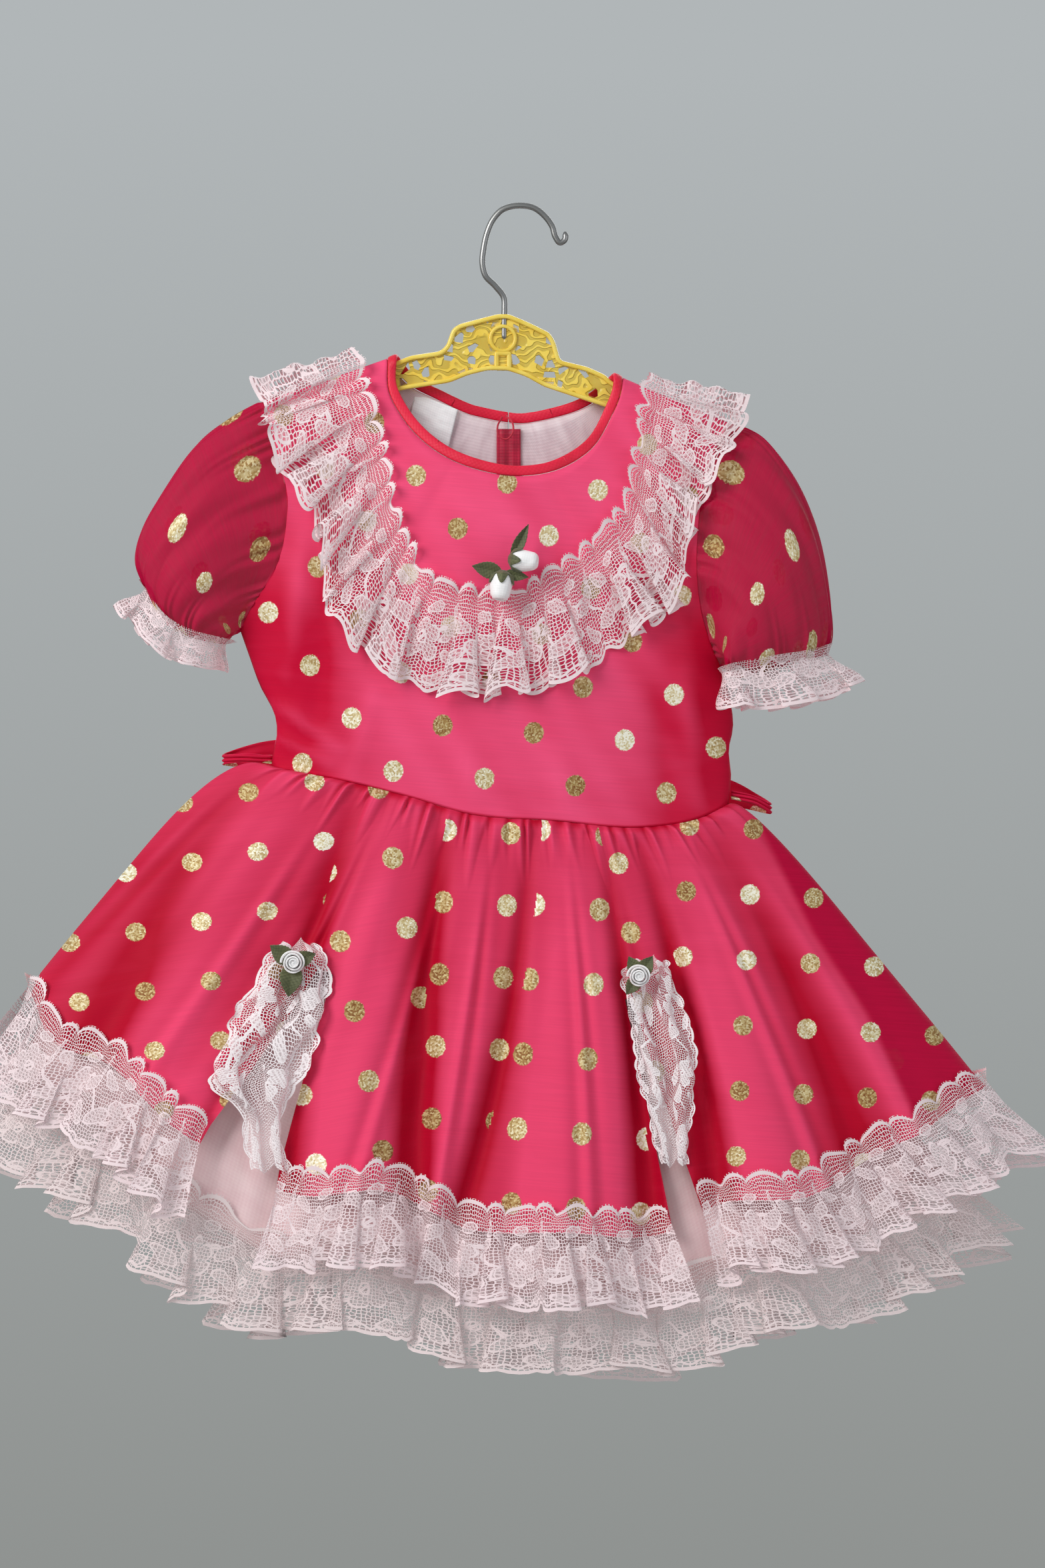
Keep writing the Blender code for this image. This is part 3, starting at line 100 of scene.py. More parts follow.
def around(grid, count):
    """Smooth columns round a ring: the ring is unrolled past its join on both sides first."""
    columns = grid.shape[1]
    longer = np.concatenate([grid[:, -3:], grid, grid[:, :4]], axis=1).transpose(1, 0, 2)
    step = count // columns
    fine = between(longer, (columns + 6) * step + 1)
    return fine[3 * step:(3 + columns) * step].transpose(1, 0, 2)


def ease(low, high, value):
    """Rise smoothly from 0 at low to 1 at high."""
    t = np.clip((value - low) / (high - low), 0, 1)
    return t * t * (3 - 2 * t)


def unit(vectors):
    """Vectors brought to length 1."""
    return vectors / np.maximum(np.linalg.norm(vectors, axis=-1, keepdims=True), 1e-9)


def wander(place, seed):
    """Slow irregular sway between -1 and 1: three sines whose lengths share no common multiple."""
    turns = 2 * math.pi * (place + seed * 0.37)
    return (np.sin(turns) + np.sin(turns * 1.73 + seed) + np.sin(turns * 2.61 + 2 * seed)) / 3


def length_of(points):
    """Length of a chain of points."""
    return float(np.linalg.norm(np.diff(np.asarray(points, float), axis=0), axis=1).sum())


def column(rows, names, name):
    """One named column of a table, stood upright beside a grid's columns."""
    return np.array([row[names.index(name)] for row in rows], float)[:, None]


# %% [markdown]
# A sheet is a grid of points. Its UV map is the place on the flat cloth in metres, so that a dot
# or a thread in the material keeps its real size however the cloth is folded. The mesh could be
# drawn and sculpted by hand, but a grid from a formula stays even and can be changed at will.

# %% From a grid of points to a sheet of cloth
def normals_of(points, ring=False):
    """Square to the grid: the cross product of its steps along columns and along rows."""
    if ring:
        across = (np.roll(points, -1, axis=1) - np.roll(points, 1, axis=1)) / 2
    else:
        across = np.gradient(points, axis=1)
    return unit(np.cross(across, np.gradient(points, axis=0)))


def flat_place(points, ring=False):
    """Place on the flat cloth in mm: mean length along the columns and mean length down the rows."""
    if ring:
        points = np.concatenate([points, points[:, :1]], axis=1)
    along = np.linalg.norm(np.diff(points, axis=1), axis=-1).mean(axis=0)
    down = np.linalg.norm(np.diff(points, axis=0), axis=-1).mean(axis=1)
    u = np.concatenate([[0], np.cumsum(along)])
    v = np.concatenate([[0], np.cumsum(down)])
    return np.stack(np.meshgrid(u, v), -1)


def surface(name, points, finish, nodes=(), flat=None, ring=False, caps=False, facing=None,
            marks=None, thick=0.0, held=None, cut=None):
    """Make a named sheet from a grid of points in mm; facing is a direction, or None for away
    from the middle. marks are values for each point that the material can read. If held is given,
    the cut is printed too: the cut given, or else the extent of its flat places."""
    true = seen(points) * MM
    rows, columns = true.shape[:2]
    flat = flat_place(points, ring) if flat is None else flat
    last = columns if ring else columns - 1
    r, c = np.meshgrid(np.arange(rows - 1), np.arange(last), indexing="ij")
    corners = [(r, c), (r, c + 1), (r + 1, c + 1), (r + 1, c)]
    quads = np.stack([(a * columns + b % columns).ravel() for a, b in corners], 1)
    if flat.ndim == 4:
        uv = flat.reshape(-1, 4, 2) * MM
    else:
        uv = np.stack([flat[a, b].reshape(-1, 2) for a, b in corners], 1) * MM
    co = true.reshape(-1, 3)
    normal = np.cross(co[quads[:, 2]] - co[quads[:, 0]], co[quads[:, 3]] - co[quads[:, 1]])
    if facing is None:
        outwards = co[quads].mean(axis=1) - np.repeat(true.mean(axis=1), last, axis=0)[:len(quads)]
    else:
        outwards = np.array(facing, float)
    if (normal * outwards).sum() < 0:
        quads, uv = quads[:, ::-1], uv[:, ::-1]
    faces = quads.tolist()
    places = uv.reshape(-1, 2)
    if caps:
        first = list(range(columns))
        final = [(rows - 1) * columns + k for k in range(columns)]
        turned = quads[0][0] + 1 == quads[0][1] or quads[0][0] == quads[0][1] + columns
        ends = [first[::-1], final] if turned else [first, final[::-1]]
        faces += ends
        places = np.concatenate([places, np.zeros((2 * columns, 2))])
    mesh = bpy.data.meshes.new(name)
    mesh.from_pydata(co.tolist(), [], faces)
    mesh.uv_layers.new(name="flat").data.foreach_set("uv", places.ravel())
    for mark, values in (marks or {}).items():
        values = np.broadcast_to(values, (rows, columns)).ravel()
        mesh.attributes.new(mark, "FLOAT", "POINT").data.foreach_set("value", values)
    mesh.shade_smooth()
    mesh.materials.append(finish)
    made = bpy.data.objects.new(name, mesh)
    bpy.context.scene.collection.objects.link(made)
    if thick:
        wall = made.modifiers.new("cloth_thickness", "SOLIDIFY")
        wall.thickness = thick * MM
        wall.offset = 0.0
    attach(made, "root")
    if nodes:
        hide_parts(*nodes)
    size = ""
    if held:
        cut = np.array(cut or np.maximum(np.ptp(flat.reshape(-1, 2), axis=0), 10.0)) * MM
        area = np.linalg.norm(normal, axis=1).sum() / 2
        area = float(np.clip(area, 0.32 * cut.prod(), cut.prod()))
        size = f", cut {cut[0] * 1000:.0f} x {cut[1] * 1000:.0f} mm"
    print(f"{name}: {len(faces)} faces{size}")
    return made


# %% [markdown]
# Materials are built from nodes in code. One function turns the usual hex colours into the
# linear ones that the shader expects, one starts a material, and one adds any node with its
# settings and links. A value that is the same all over stays on the shader's own socket.

# %% Colours and nodes
def hex_colour(code):
    """Linear colour of an sRGB hex code."""
    srgb = np.array([int(code[k:k + 2], 16) for k in (1, 3, 5)]) / 255
    linear = np.where(srgb <= 0.04045, srgb / 12.92, ((srgb + 0.055) / 1.055) ** 2.4)
    return (*linear, 1.0)


def new_finish(name, **sockets):
    """A material with one Principled shader and its even values."""
    made = bpy.data.materials.new(name)
    made.use_nodes = True
    shader = made.node_tree.nodes["Principled BSDF"]
    for socket, value in sockets.items():
        shader.inputs[socket.replace("_", " ")].default_value = value
    return made, made.node_tree, shader.inputs


def add(tree, kind, inputs=None, output=0, **settings):
    """Add a node, set its properties, fill or link its inputs, and give back one output."""
    node = tree.nodes.new("ShaderNode" + kind)
    for name, value in settings.items():
        setattr(node, name, value)
    for key, value in (inputs or {}).items():
        if isinstance(value, bpy.types.NodeSocket):
            tree.links.new(value, node.inputs[key])
        else:
            node.inputs[key].default_value = value
    return node.outputs[output]


# %% [markdown]
# Organza is a sheer plain weave of hard-twisted filament. It shows fine level slubs, and where
# it lies on satin a slow watered pattern. Its threads are too fine to show here, so the slubs
# are drawn coarser, 0.8 mm apart. Gold glitter is glued on it in round dots, 11 mm wide, on a
# square lattice. The grains of glitter are drawn 0.8 mm wide, also coarser than the real ones.
# The dots could be little discs, but they are flat on the real cloth, so they are part of the
# material and bend with the sheet.

# %% Dotted organza
DOT_PITCH = 0.0362
DOT_RADIUS = 5.5
GLITTER_GRAIN = 0.0008
SLUB = 0.0008


def organza(name, light, deep, sheer, see_through, weave_turn=0.0):
    """Sheer dotted cloth; the mark fold_shade is painted shade and light, from the deep colour in
    valleys to the light one on ridges, partly the deeper red of organza lying doubled. The mark
    unlined runs from lined cloth to cloth that the light passes. The weave lies at weave_turn
    degrees to the lattice of the dots."""
    made, tree, shader = new_finish(name, Roughness=0.6, Specular_IOR_Level=0.1)
    place = add(tree, "UVMap", uv_map="flat")
    cell = add(tree, "VectorMath", {0: place, 3: 1 / DOT_PITCH}, operation="SCALE")
    shifted = add(tree, "VectorMath", {0: cell, 1: (0.5, 0.5, 0)}, operation="ADD")
    number = add(tree, "VectorMath", {0: shifted}, operation="FLOOR")
    offset = add(tree, "VectorMath", {0: cell, 1: number}, operation="SUBTRACT")
    distance = add(tree, "VectorMath", {0: offset}, output="Value", operation="LENGTH")
    rim = add(tree, "TexNoise", {"Vector": place, "Scale": 900.0, "Detail": 1.0},
              noise_dimensions="2D")
    reach = add(tree, "Math", {0: distance, 1: DOT_PITCH / MM}, operation="MULTIPLY")
    rough_reach = add(tree, "Math", {0: rim, 1: 1.2, 2: reach}, operation="MULTIPLY_ADD")
    dot = add(tree, "MapRange", {"Value": rough_reach, "From Min": DOT_RADIUS + 0.85,
                                 "From Max": DOT_RADIUS + 0.45, "To Min": 0.0, "To Max": 1.0})
    # Each dot and each grain of glitter takes a random brightness, from dark gold to near white: partly the
    # flakes' own uneven gold, partly painted glints of flakes that catch the light.
    tone = add(tree, "TexWhiteNoise", {"Vector": number}, noise_dimensions="3D")
    grain = add(tree, "TexVoronoi", {"Vector": place, "Scale": 1 / GLITTER_GRAIN}, output="Color",
                voronoi_dimensions="2D")
    grain_red = add(tree, "SeparateColor", {"Color": grain})
    brightness = add(tree, "Math", {0: tone, 1: 0.62, 2: 0.06}, operation="MULTIPLY_ADD")
    flake = add(tree, "Math", {0: grain_red, 1: 0.55, 2: brightness}, operation="MULTIPLY_ADD")
    gold = add(tree, "ValToRGB", {"Fac": flake})
    ramp = gold.node.color_ramp
    ramp.elements[0].position = 0.12
    ramp.elements[0].color = hex_colour("#8A5A36")
    ramp.elements[1].position = 1.0
    ramp.elements[1].color = hex_colour("#FFFBEA")
    for position, code in ((0.4, "#B0905A"), (0.65, "#D6C290"), (0.85, "#EEE4C2")):
        ramp.elements.new(position).color = hex_colour(code)
    grain_line = add(tree, "Mapping", {"Vector": place, "Rotation": (0, 0, math.radians(weave_turn))})
    stretched = add(tree, "Mapping", {"Vector": grain_line, "Scale": (30.0, 1 / SLUB, 1.0)})
    slub = add(tree, "TexNoise", {"Vector": stretched, "Scale": 1.0, "Detail": 2.0},
               noise_dimensions="2D")
    slow = add(tree, "Mapping", {"Vector": grain_line, "Scale": (9.0, 42.0, 1.0)})
    watered = add(tree, "TexNoise", {"Vector": slow, "Scale": 1.0, "Detail": 2.0, "Distortion": 1.2},
                  noise_dimensions="2D")
    # Painted light and shade: the mark fold_shade mixes the deep colour into valleys and the light one onto
    # ridges.
    fold_shade = add(tree, "Attribute", output="Fac", attribute_name="fold_shade")
    unlined = add(tree, "Attribute", output="Fac", attribute_name="unlined")
    swing = add(tree, "Math", {0: watered, 1: 0.2, 2: -0.1}, operation="MULTIPLY_ADD")
    depth = add(tree, "Math", {0: fold_shade, 1: swing}, operation="ADD", use_clamp=True)
    cloth = add(tree, "MixRGB", {"Fac": depth, "Color1": hex_colour(deep), "Color2": hex_colour(light)})
    dark = add(tree, "MixRGB", {"Fac": unlined, "Color1": cloth, "Color2": hex_colour(sheer)})
    thread = add(tree, "MapRange", {"Value": slub, "From Min": 0.3, "From Max": 0.7, "To Min": 0.965,
                                    "To Max": 1.02})
    woven = add(tree, "MixRGB", {"Fac": 1.0, "Color1": dark, "Color2": thread}, blend_type="MULTIPLY")
    dotted = add(tree, "MixRGB", {"Fac": dot, "Color1": woven, "Color2": gold})
    tree.links.new(dotted, shader["Base Color"])
    metal = add(tree, "Math", {0: dot, 1: 0.25}, operation="MULTIPLY")
    tree.links.new(metal, shader["Metallic"])
    height = add(tree, "Math", {0: dot, 1: flake, 2: slub}, operation="MULTIPLY_ADD")
    bump = add(tree, "Bump", {"Height": height, "Strength": 0.2, "Distance": 0.00012})
    tree.links.new(bump, shader["Normal"])
    if see_through:
        thin = add(tree, "Math", {0: unlined, 1: -see_through, 2: 1.0}, operation="MULTIPLY_ADD")
        thread_alpha = add(tree, "Math", {0: slub, 1: 0.12, 2: -0.06}, operation="MULTIPLY_ADD")
        uneven = add(tree, "Math", {0: thread_alpha, 1: unlined, 2: thin}, operation="MULTIPLY_ADD")
        opaque = add(tree, "Math", {0: uneven, 1: dot}, operation="MAXIMUM", use_clamp=True)
        tree.links.new(opaque, shader["Alpha"])
    return made


# %% [markdown]
# One organza has four looks, by what lies behind it. On the bodice the satin touches it and
# lightens it. On the skirt the satin hangs further off, and past one line there is none. The
# ties are folded double, so they are deeper red and let nothing through. The sleeves have no
# lining, so the eye looks through them at the shade inside the puff.

# %% The organza of each piece
# The first colour of each organza is painted light for its ridges and the second is painted shade for its
# valleys; the third is its colour where nothing lines it.
lined_organza = organza("dotted_organza_on_satin", "#FF5886", "#CE0836", "#A8083A", 0.0, weave_turn=-45.0)
skirt_organza = organza("dotted_organza_of_the_skirt", "#EE446E", "#B80028", "#CE0640", 0.16)
tie_organza = organza("dotted_organza_folded_double", "#E3204E", "#A80022", "#A8083A", 0.0)
sleeve_organza = organza("sheer_dotted_organza", "#CC0840", "#900030", "#C0053E", 0.17)

# %% [markdown]
# Lace is knitted net with denser leaves and flowers, an outlining thread and a firm scalloped
# edge. Cut as holes it would need millions of faces, so the holes are in the alpha of the
# material. The UV map gives the length along the strip and the distance from the scalloped
# edge, and each motif is a formula of the two. The real mesh has holes of about 1 mm, and they
# are drawn 1.7 mm wide so that they show.

# %% Net lace with flowers, leaves and a scalloped edge
NET_HOLE = 0.0017
MOTIF_PITCH = 46.0
FLOWER_HEIGHT = 25.0
FLOWER_RADIUS = 10.5
LEAF_COLUMNS = ("x", "y", "turn", "length", "width")
LACE_LEAVES = [
    (16.5, 31.0, 40.0, 7.5, 3.3),
    (-16.5, 19.0, 35.0, 7.5, 3.2),
    (17.0, 15.5, -48.0, 6.0, 2.8),
    (-15.5, 36.5, -30.0, 6.5, 2.9),
    (3.0, 41.5, 12.0, 6.5, 2.6),
    (-7.0, 8.5, -12.0, 6.0, 2.2),
    (22.5, 42.0, 70.0, 4.5, 2.2),
    (9.0, 8.0, 25.0, 4.5, 2.0),
]
STEM_SWING = 8.0
STEM_WIDTH = 0.55
PETAL_DEPTH = 6.2
HEART_RADIUS = 2.4
HEADER_HEIGHT = 50.6


def lace(name, body, fill_low, fill_high):
    """Alpha is the highest of net threads, filled motifs, their outlines and the edge bands."""
    made, tree, shader = new_finish(name, Roughness=0.75, Sheen_Weight=0.25, Specular_IOR_Level=0.25)
    place = add(tree, "UVMap", uv_map="flat")
    net = add(tree, "TexVoronoi", {"Vector": place, "Scale": 1 / NET_HOLE, "Randomness": 0.5},
              voronoi_dimensions="2D", feature="DISTANCE_TO_EDGE")
    thread = add(tree, "MapRange", {"Value": net, "From Min": 0.16, "From Max": 0.09})
    size = add(tree, "VectorMath", {0: place, 3: 1 / MM}, operation="SCALE")
    wobble = add(tree, "TexNoise", {"Vector": place, "Scale": 110.0, "Detail": 1.0}, output=1,
                 noise_dimensions="2D")
    sway = add(tree, "VectorMath", {0: wobble, 1: (4.0, 4.0, 0), 2: size}, operation="MULTIPLY_ADD")
    split = add(tree, "SeparateXYZ", {0: sway})
    along, height = split, split.node.outputs[1]
    turn = add(tree, "Math", {0: along, 1: MOTIF_PITCH / 2, 2: -MOTIF_PITCH / 2}, operation="WRAP")
    up = add(tree, "Math", {0: height, 1: -FLOWER_HEIGHT}, operation="ADD")
    radius_squared = add(tree, "Math", {0: up, 1: up}, operation="MULTIPLY")
    sum_squared = add(tree, "Math", {0: turn, 1: turn, 2: radius_squared}, operation="MULTIPLY_ADD")
    radius = add(tree, "Math", {0: sum_squared}, operation="SQRT")
    angle = add(tree, "Math", {0: up, 1: turn}, operation="ARCTAN2")
    five = add(tree, "Math", {0: angle, 1: 2.5}, operation="MULTIPLY")
    lobe = add(tree, "Math", {0: five}, operation="SINE")
    lobe_size = add(tree, "Math", {0: lobe}, operation="ABSOLUTE")
    round_lobe = add(tree, "Math", {0: lobe_size, 1: 0.5}, operation="POWER")
    petal_reach = add(tree, "Math", {0: round_lobe, 1: PETAL_DEPTH, 2: FLOWER_RADIUS - PETAL_DEPTH},
                      operation="MULTIPLY_ADD")
    inside = add(tree, "Math", {0: petal_reach, 1: radius}, operation="SUBTRACT")
    heart = add(tree, "Math", {0: radius, 1: -HEART_RADIUS}, operation="ADD")
    shape = add(tree, "Math", {0: inside, 1: heart}, operation="MINIMUM")
    for row in LACE_LEAVES:
        x, y, degrees, length, width = (row[LEAF_COLUMNS.index(key)] for key in LEAF_COLUMNS)
        cos, sin = math.cos(math.radians(degrees)), math.sin(math.radians(degrees))
        near_x = add(tree, "Math", {0: turn, 1: -x}, operation="ADD")
        near_y = add(tree, "Math", {0: height, 1: -y}, operation="ADD")
        part = add(tree, "Math", {0: near_y, 1: sin / length}, operation="MULTIPLY")
        long_way = add(tree, "Math", {0: near_x, 1: cos / length, 2: part}, operation="MULTIPLY_ADD")
        part = add(tree, "Math", {0: near_y, 1: cos / width}, operation="MULTIPLY")
        short_way = add(tree, "Math", {0: near_x, 1: -sin / width, 2: part}, operation="MULTIPLY_ADD")
        square = add(tree, "Math", {0: short_way, 1: short_way}, operation="MULTIPLY")
        oval = add(tree, "Math", {0: long_way, 1: long_way, 2: square}, operation="MULTIPLY_ADD")
        leaf = add(tree, "Math", {0: oval, 1: -width, 2: width}, operation="MULTIPLY_ADD")
        shape = add(tree, "Math", {0: shape, 1: leaf}, operation="MAXIMUM")
    swing = add(tree, "Math", {0: turn, 1: 2 * math.pi / MOTIF_PITCH}, operation="MULTIPLY")
    swing = add(tree, "Math", {0: swing}, operation="SINE")
    above = add(tree, "Math", {0: swing, 1: -STEM_SWING, 2: up}, operation="MULTIPLY_ADD")
    stem_reach = add(tree, "Math", {0: above}, operation="ABSOLUTE")
    stem = add(tree, "Math", {0: STEM_WIDTH, 1: stem_reach}, operation="SUBTRACT")
    shape = add(tree, "Math", {0: shape, 1: stem}, operation="MAXIMUM")
    filled = add(tree, "MapRange", {"Value": shape, "From Min": -0.2, "From Max": 0.2})
    stripes = add(tree, "TexWave", {"Vector": place, "Scale": 210.0, "Distortion": 1.5,
                                    "Detail Scale": 3.0}, output=1, wave_type="BANDS",
                  bands_direction="DIAGONAL")
    clothwork = add(tree, "MapRange", {"Value": stripes, "To Min": fill_low, "To Max": fill_high})
    fill = add(tree, "Math", {0: filled, 1: clothwork}, operation="MULTIPLY")
    rim_distance = add(tree, "Math", {0: shape}, operation="ABSOLUTE")
    outline = add(tree, "MapRange", {"Value": rim_distance, "From Min": 0.75, "From Max": 0.4})
    flat_height = add(tree, "SeparateXYZ", {0: size}, output=1)
    edge = add(tree, "MapRange", {"Value": flat_height, "From Min": 2.1, "From Max": 1.7})
    beads = add(tree, "TexWave", {"Vector": place, "Scale": 52.0}, output=1, wave_type="BANDS",
                bands_direction="X")
    bead_line = add(tree, "Math", {0: beads, 1: 1.6, 2: 3.1}, operation="MULTIPLY_ADD")
    picot = add(tree, "Math", {0: flat_height, 1: bead_line, 2: 0.6}, operation="COMPARE")
    header = add(tree, "Math", {0: flat_height, 1: HEADER_HEIGHT, 2: 0.8}, operation="COMPARE")
    total = thread
    for part in (fill, outline, edge, picot, header):
        total = add(tree, "Math", {0: total, 1: part}, operation="MAXIMUM", use_clamp=True)
    tree.links.new(total, shader["Alpha"])
    dense = add(tree, "MapRange", {"Value": total, "To Min": 0.8, "To Max": 1.0})
    colour = add(tree, "MixRGB", {"Fac": 1.0, "Color1": hex_colour(body), "Color2": dense},
                 blend_type="MULTIPLY")
    tree.links.new(colour, shader["Base Color"])
    bump = add(tree, "Bump", {"Height": total, "Strength": 0.5, "Distance": 0.0002})
    tree.links.new(bump, shader["Normal"])
    return made


# %% [markdown]
# The same lace has three looks. On the collar, the cuffs and the upper hem its motifs are half
# filled. On the lower hem nothing lies behind it, so it is drawn more open and the room shows
# through it; its greyer colour is painted shade from the upper tier. In the notches it is folded
# on itself, so its motifs cover each other and look nearly solid; its paler colour is painted light.

# %% The lace of each place
white_lace = lace("white_nylon_lace", "#F4DFE1", 0.26, 0.72)
# Greyer body colour: painted shade.
open_lace_in_painted_shade = lace("open_white_nylon_lace_painted_in_shade", "#EAD8D7", 0.16, 0.5)
# Paler body colour: painted light.
folded_lace_painted_paler = lace("folded_white_nylon_lace_painted_paler", "#FFF4F5", 0.5, 0.95)


# %% [markdown]
# The plain cloths: satin has long floats that give a soft, broad gloss; the lining and the
# label are plain weaves; the neck binding is a strip cut on the bias, so its threads run
# slantwise; ribbon is a narrow satin. Their threads are drawn 0.8 to 1.7 mm apart, coarser than
# the real ones, so that they show.

# %% Plain woven cloths
def woven_cloth(name, light, shade, pitch, roughness, sheen, slant=0.0, bump=0.3):
    """Threads in two directions, 1.9 times the pitch in mm apart, with a slow uneven tone."""
    made, tree, shader = new_finish(name, Roughness=roughness, Sheen_Weight=sheen,
                                    Specular_IOR_Level=0.4)
    place = add(tree, "UVMap", uv_map="flat")
    turned = add(tree, "Mapping", {"Vector": place, "Rotation": (0, 0, math.radians(slant))})
    scale = 1 / (pitch * MM) / 2
    warp = add(tree, "TexWave", {"Vector": turned, "Scale": scale / 3, "Distortion": 0.4}, output=1,
               wave_type="BANDS", bands_direction="X")
    weft = add(tree, "TexWave", {"Vector": turned, "Scale": scale / 3, "Distortion": 0.4}, output=1,
               wave_type="BANDS", bands_direction="Y")
    threads = add(tree, "Math", {0: warp, 1: weft}, operation="ADD")
    slow = add(tree, "TexNoise", {"Vector": place, "Scale": 60.0, "Detail": 3.0}, noise_dimensions="2D")
    tone = add(tree, "Math", {0: threads, 1: 0.12, 2: slow}, operation="MULTIPLY_ADD")
    factor = add(tree, "MapRange", {"Value": tone, "From Min": 0.4, "From Max": 0.8})
    colour = add(tree, "MixRGB", {"Fac": factor, "Color1": hex_colour(shade), "Color2": hex_colour(light)})
    tree.links.new(colour, shader["Base Color"])
    lift = add(tree, "Bump", {"Height": threads, "Strength": bump, "Distance": 0.0001})
    tree.links.new(lift, shader["Normal"])
    return made


pale_satin = woven_cloth("pale_pink_satin", "#F1D3D3", "#EAC6C8", 0.9, 0.4, 0.1)
white_lining = woven_cloth("white_acetate_lining", "#EFDCE0", "#DCC3C9", 0.8, 0.5, 0.1)
label_cloth = woven_cloth("white_woven_label", "#FFFFFF", "#F4F0F1", 0.7, 0.65, 0.1)
red_binding = woven_cloth("red_bias_binding", "#F01A42", "#DC0A34", 0.9, 0.5, 0.08, slant=45.0)
red_facing = woven_cloth("red_organza_facing", "#C81340", "#A30C33", 0.9, 0.55, 0.2)
white_ribbon = woven_cloth("white_satin_ribbon", "#FFFFFF", "#FDF8F7", 0.7, 0.36, 0.3)
green_ribbon = woven_cloth("olive_ribbon", "#6A6C48", "#454A2B", 0.8, 0.6, 0.2, slant=30.0)
red_thread = woven_cloth("red_sewing_thread", "#D21138", "#A80A2A", 0.4, 0.5, 0.2, slant=60.0)

# %% [markdown]
# The bodice is one front panel and two back halves. Each is a fan of lines that run from the
# neckline out to the armholes, the sides and the waist. The half depth runs from the hanger's
# at the shoulders to nothing at the side seams on a quarter ellipse, with a swell at the chest.

# %% Outlines of the bodice
SEAM = 0.35
SHOULDER_DEPTH = 5.2
ARMHOLE_DEPTH = 11.0
CHEST_SWELL = 5.0
NECK_DROP = 12.0
WAIST_DEPTH = 18.0
UNDERARM_DROOP = 19.0
NECK_FRONT = [(-72.6, -81.4), (-71.8, -99), (-65.8, -111.2), (-58.6, -120.6), (-44.2, -132.5),
              (-22.6, -141.5), (-1, -144.6), (20.6, -140.8), (38.6, -129.2), (48.7, -112.3),
              (53.7, -99.7), (54.8, -91.8)]
NECK_BACK = [(-72.6, -81.4), (-62, -94.5), (-46, -103.3), (-25.8, -112.3), (-5.5, -116.3),
             (17, -113.4), (33.9, -107.8), (46, -100), (54.8, -91.8)]
ARMHOLE_LEFT = [(-139.4, -104.4), (-135.5, -118), (-130, -140), (-126.6, -155),
                (-127, -168.5), (-130.4, -188.8), (-138.1, -203.5), (-145.5, -215), (-151.8, -227.2)]
ARMHOLE_RIGHT = [(112, -116), (103.5, -134), (98, -152), (95.5, -172), (94.5, -193),
                 (95.8, -210), (98.8, -225), (102.8, -237), (107, -247)]
SIDE_LEFT = [(-151.8, -227.2), (-147.1, -240.5), (-140.5, -258.5), (-133.8, -271),
             (-131, -281), (-133.5, -292), (-134.9, -302.4)]
SIDE_RIGHT = [(107, -247), (112, -264), (113.9, -280.1), (111.5, -292.3), (112.8, -305.8),
              (111.5, -321.5)]
WAIST = [(-134.9, -302.4), (-104.7, -307.1), (-64, -316.6), (-25.8, -327.2), (19.2, -330.5),
         (64.2, -334.1), (98, -328.3), (111.5, -321.5)]
NECK_BREAKS = (0.0, 0.30, 0.36, 0.64, 0.70, 1.0)
EASING_PASSES = 60
ARMHOLE_STEPS = 44
SIDE_STEPS = 14
WAIST_STEPS = 66
BODICE_ROWS = 52


def ring_shares(count):
    """Shares along half a ring, closer together at its ends: (1 - cos) / 2."""
    return (1 - np.cos(np.linspace(0, math.pi, count))) / 2


def over_shoulder(distance):
    """Half depth below the shoulder seam: a quarter circle, then upright."""
    drop = np.clip(distance, 0, SHOULDER_DEPTH)
    return np.sqrt(drop * (2 * SHOULDER_DEPTH - drop)) + SEAM / 2


def armhole_depth(share, length):
    """Half depth of an armhole: the hanger's at the top, open in the middle, closed below."""
    top = over_shoulder(share * length)
    opened = (ARMHOLE_DEPTH - SHOULDER_DEPTH) * ease(0.0, 0.45, share)
    closing = np.sqrt(np.clip(1 - np.clip((share - 0.72) / 0.28, 0, 1) ** 2, 0, 1))
    return (top + opened) * closing + SEAM / 2 * (1 - closing)


def bodice_border():
    """Outer border as points, half depth, pull of the side seams, neck share and droop."""
    arm = ring_shares(ARMHOLE_STEPS)
    side = np.linspace(0, 1, SIDE_STEPS + 1)[1:]
    waist = ring_shares(WAIST_STEPS + 1)[1:-1] * 0.55 + np.linspace(0, 1, WAIST_STEPS + 1)[1:-1] * 0.45
    waist_depth = WAIST_DEPTH * np.sqrt(1 - (2 * waist - 1) ** 2) + SEAM / 2
    chain = np.concatenate([curve(ARMHOLE_LEFT, arm), curve(SIDE_LEFT, side), curve(WAIST, waist),
                            curve(SIDE_RIGHT, side[::-1]), curve(ARMHOLE_RIGHT, arm[::-1])])
    seam = np.full(SIDE_STEPS, SEAM / 2)
    depth = np.concatenate([armhole_depth(arm, length_of(ARMHOLE_LEFT)), seam, waist_depth, seam,
                            armhole_depth(arm[::-1], length_of(ARMHOLE_RIGHT))])
    closed = ease(0.55, 1.0, arm)
    weight = np.concatenate([closed, np.ones(SIDE_STEPS), np.zeros(WAIST_STEPS - 1),
                             np.ones(SIDE_STEPS), closed[::-1]])
    lower_left, upper_left, upper_right, lower_right = NECK_BREAKS[1:5]
    neck = np.concatenate([arm * lower_left,
                           lower_left + side * (upper_left - lower_left),
                           upper_left + waist * (upper_right - upper_left),
                           upper_right + (1 - side[::-1]) * (lower_right - upper_right),
                           lower_right + (1 - arm[::-1]) * (1 - lower_right)])
    droop = np.concatenate([ease(0.5, 1.0, arm), 1 - side, np.zeros(WAIST_STEPS - 1),
                            (1 - side)[::-1], ease(0.5, 1.0, arm)[::-1]])
    return chain, depth, weight, neck, droop


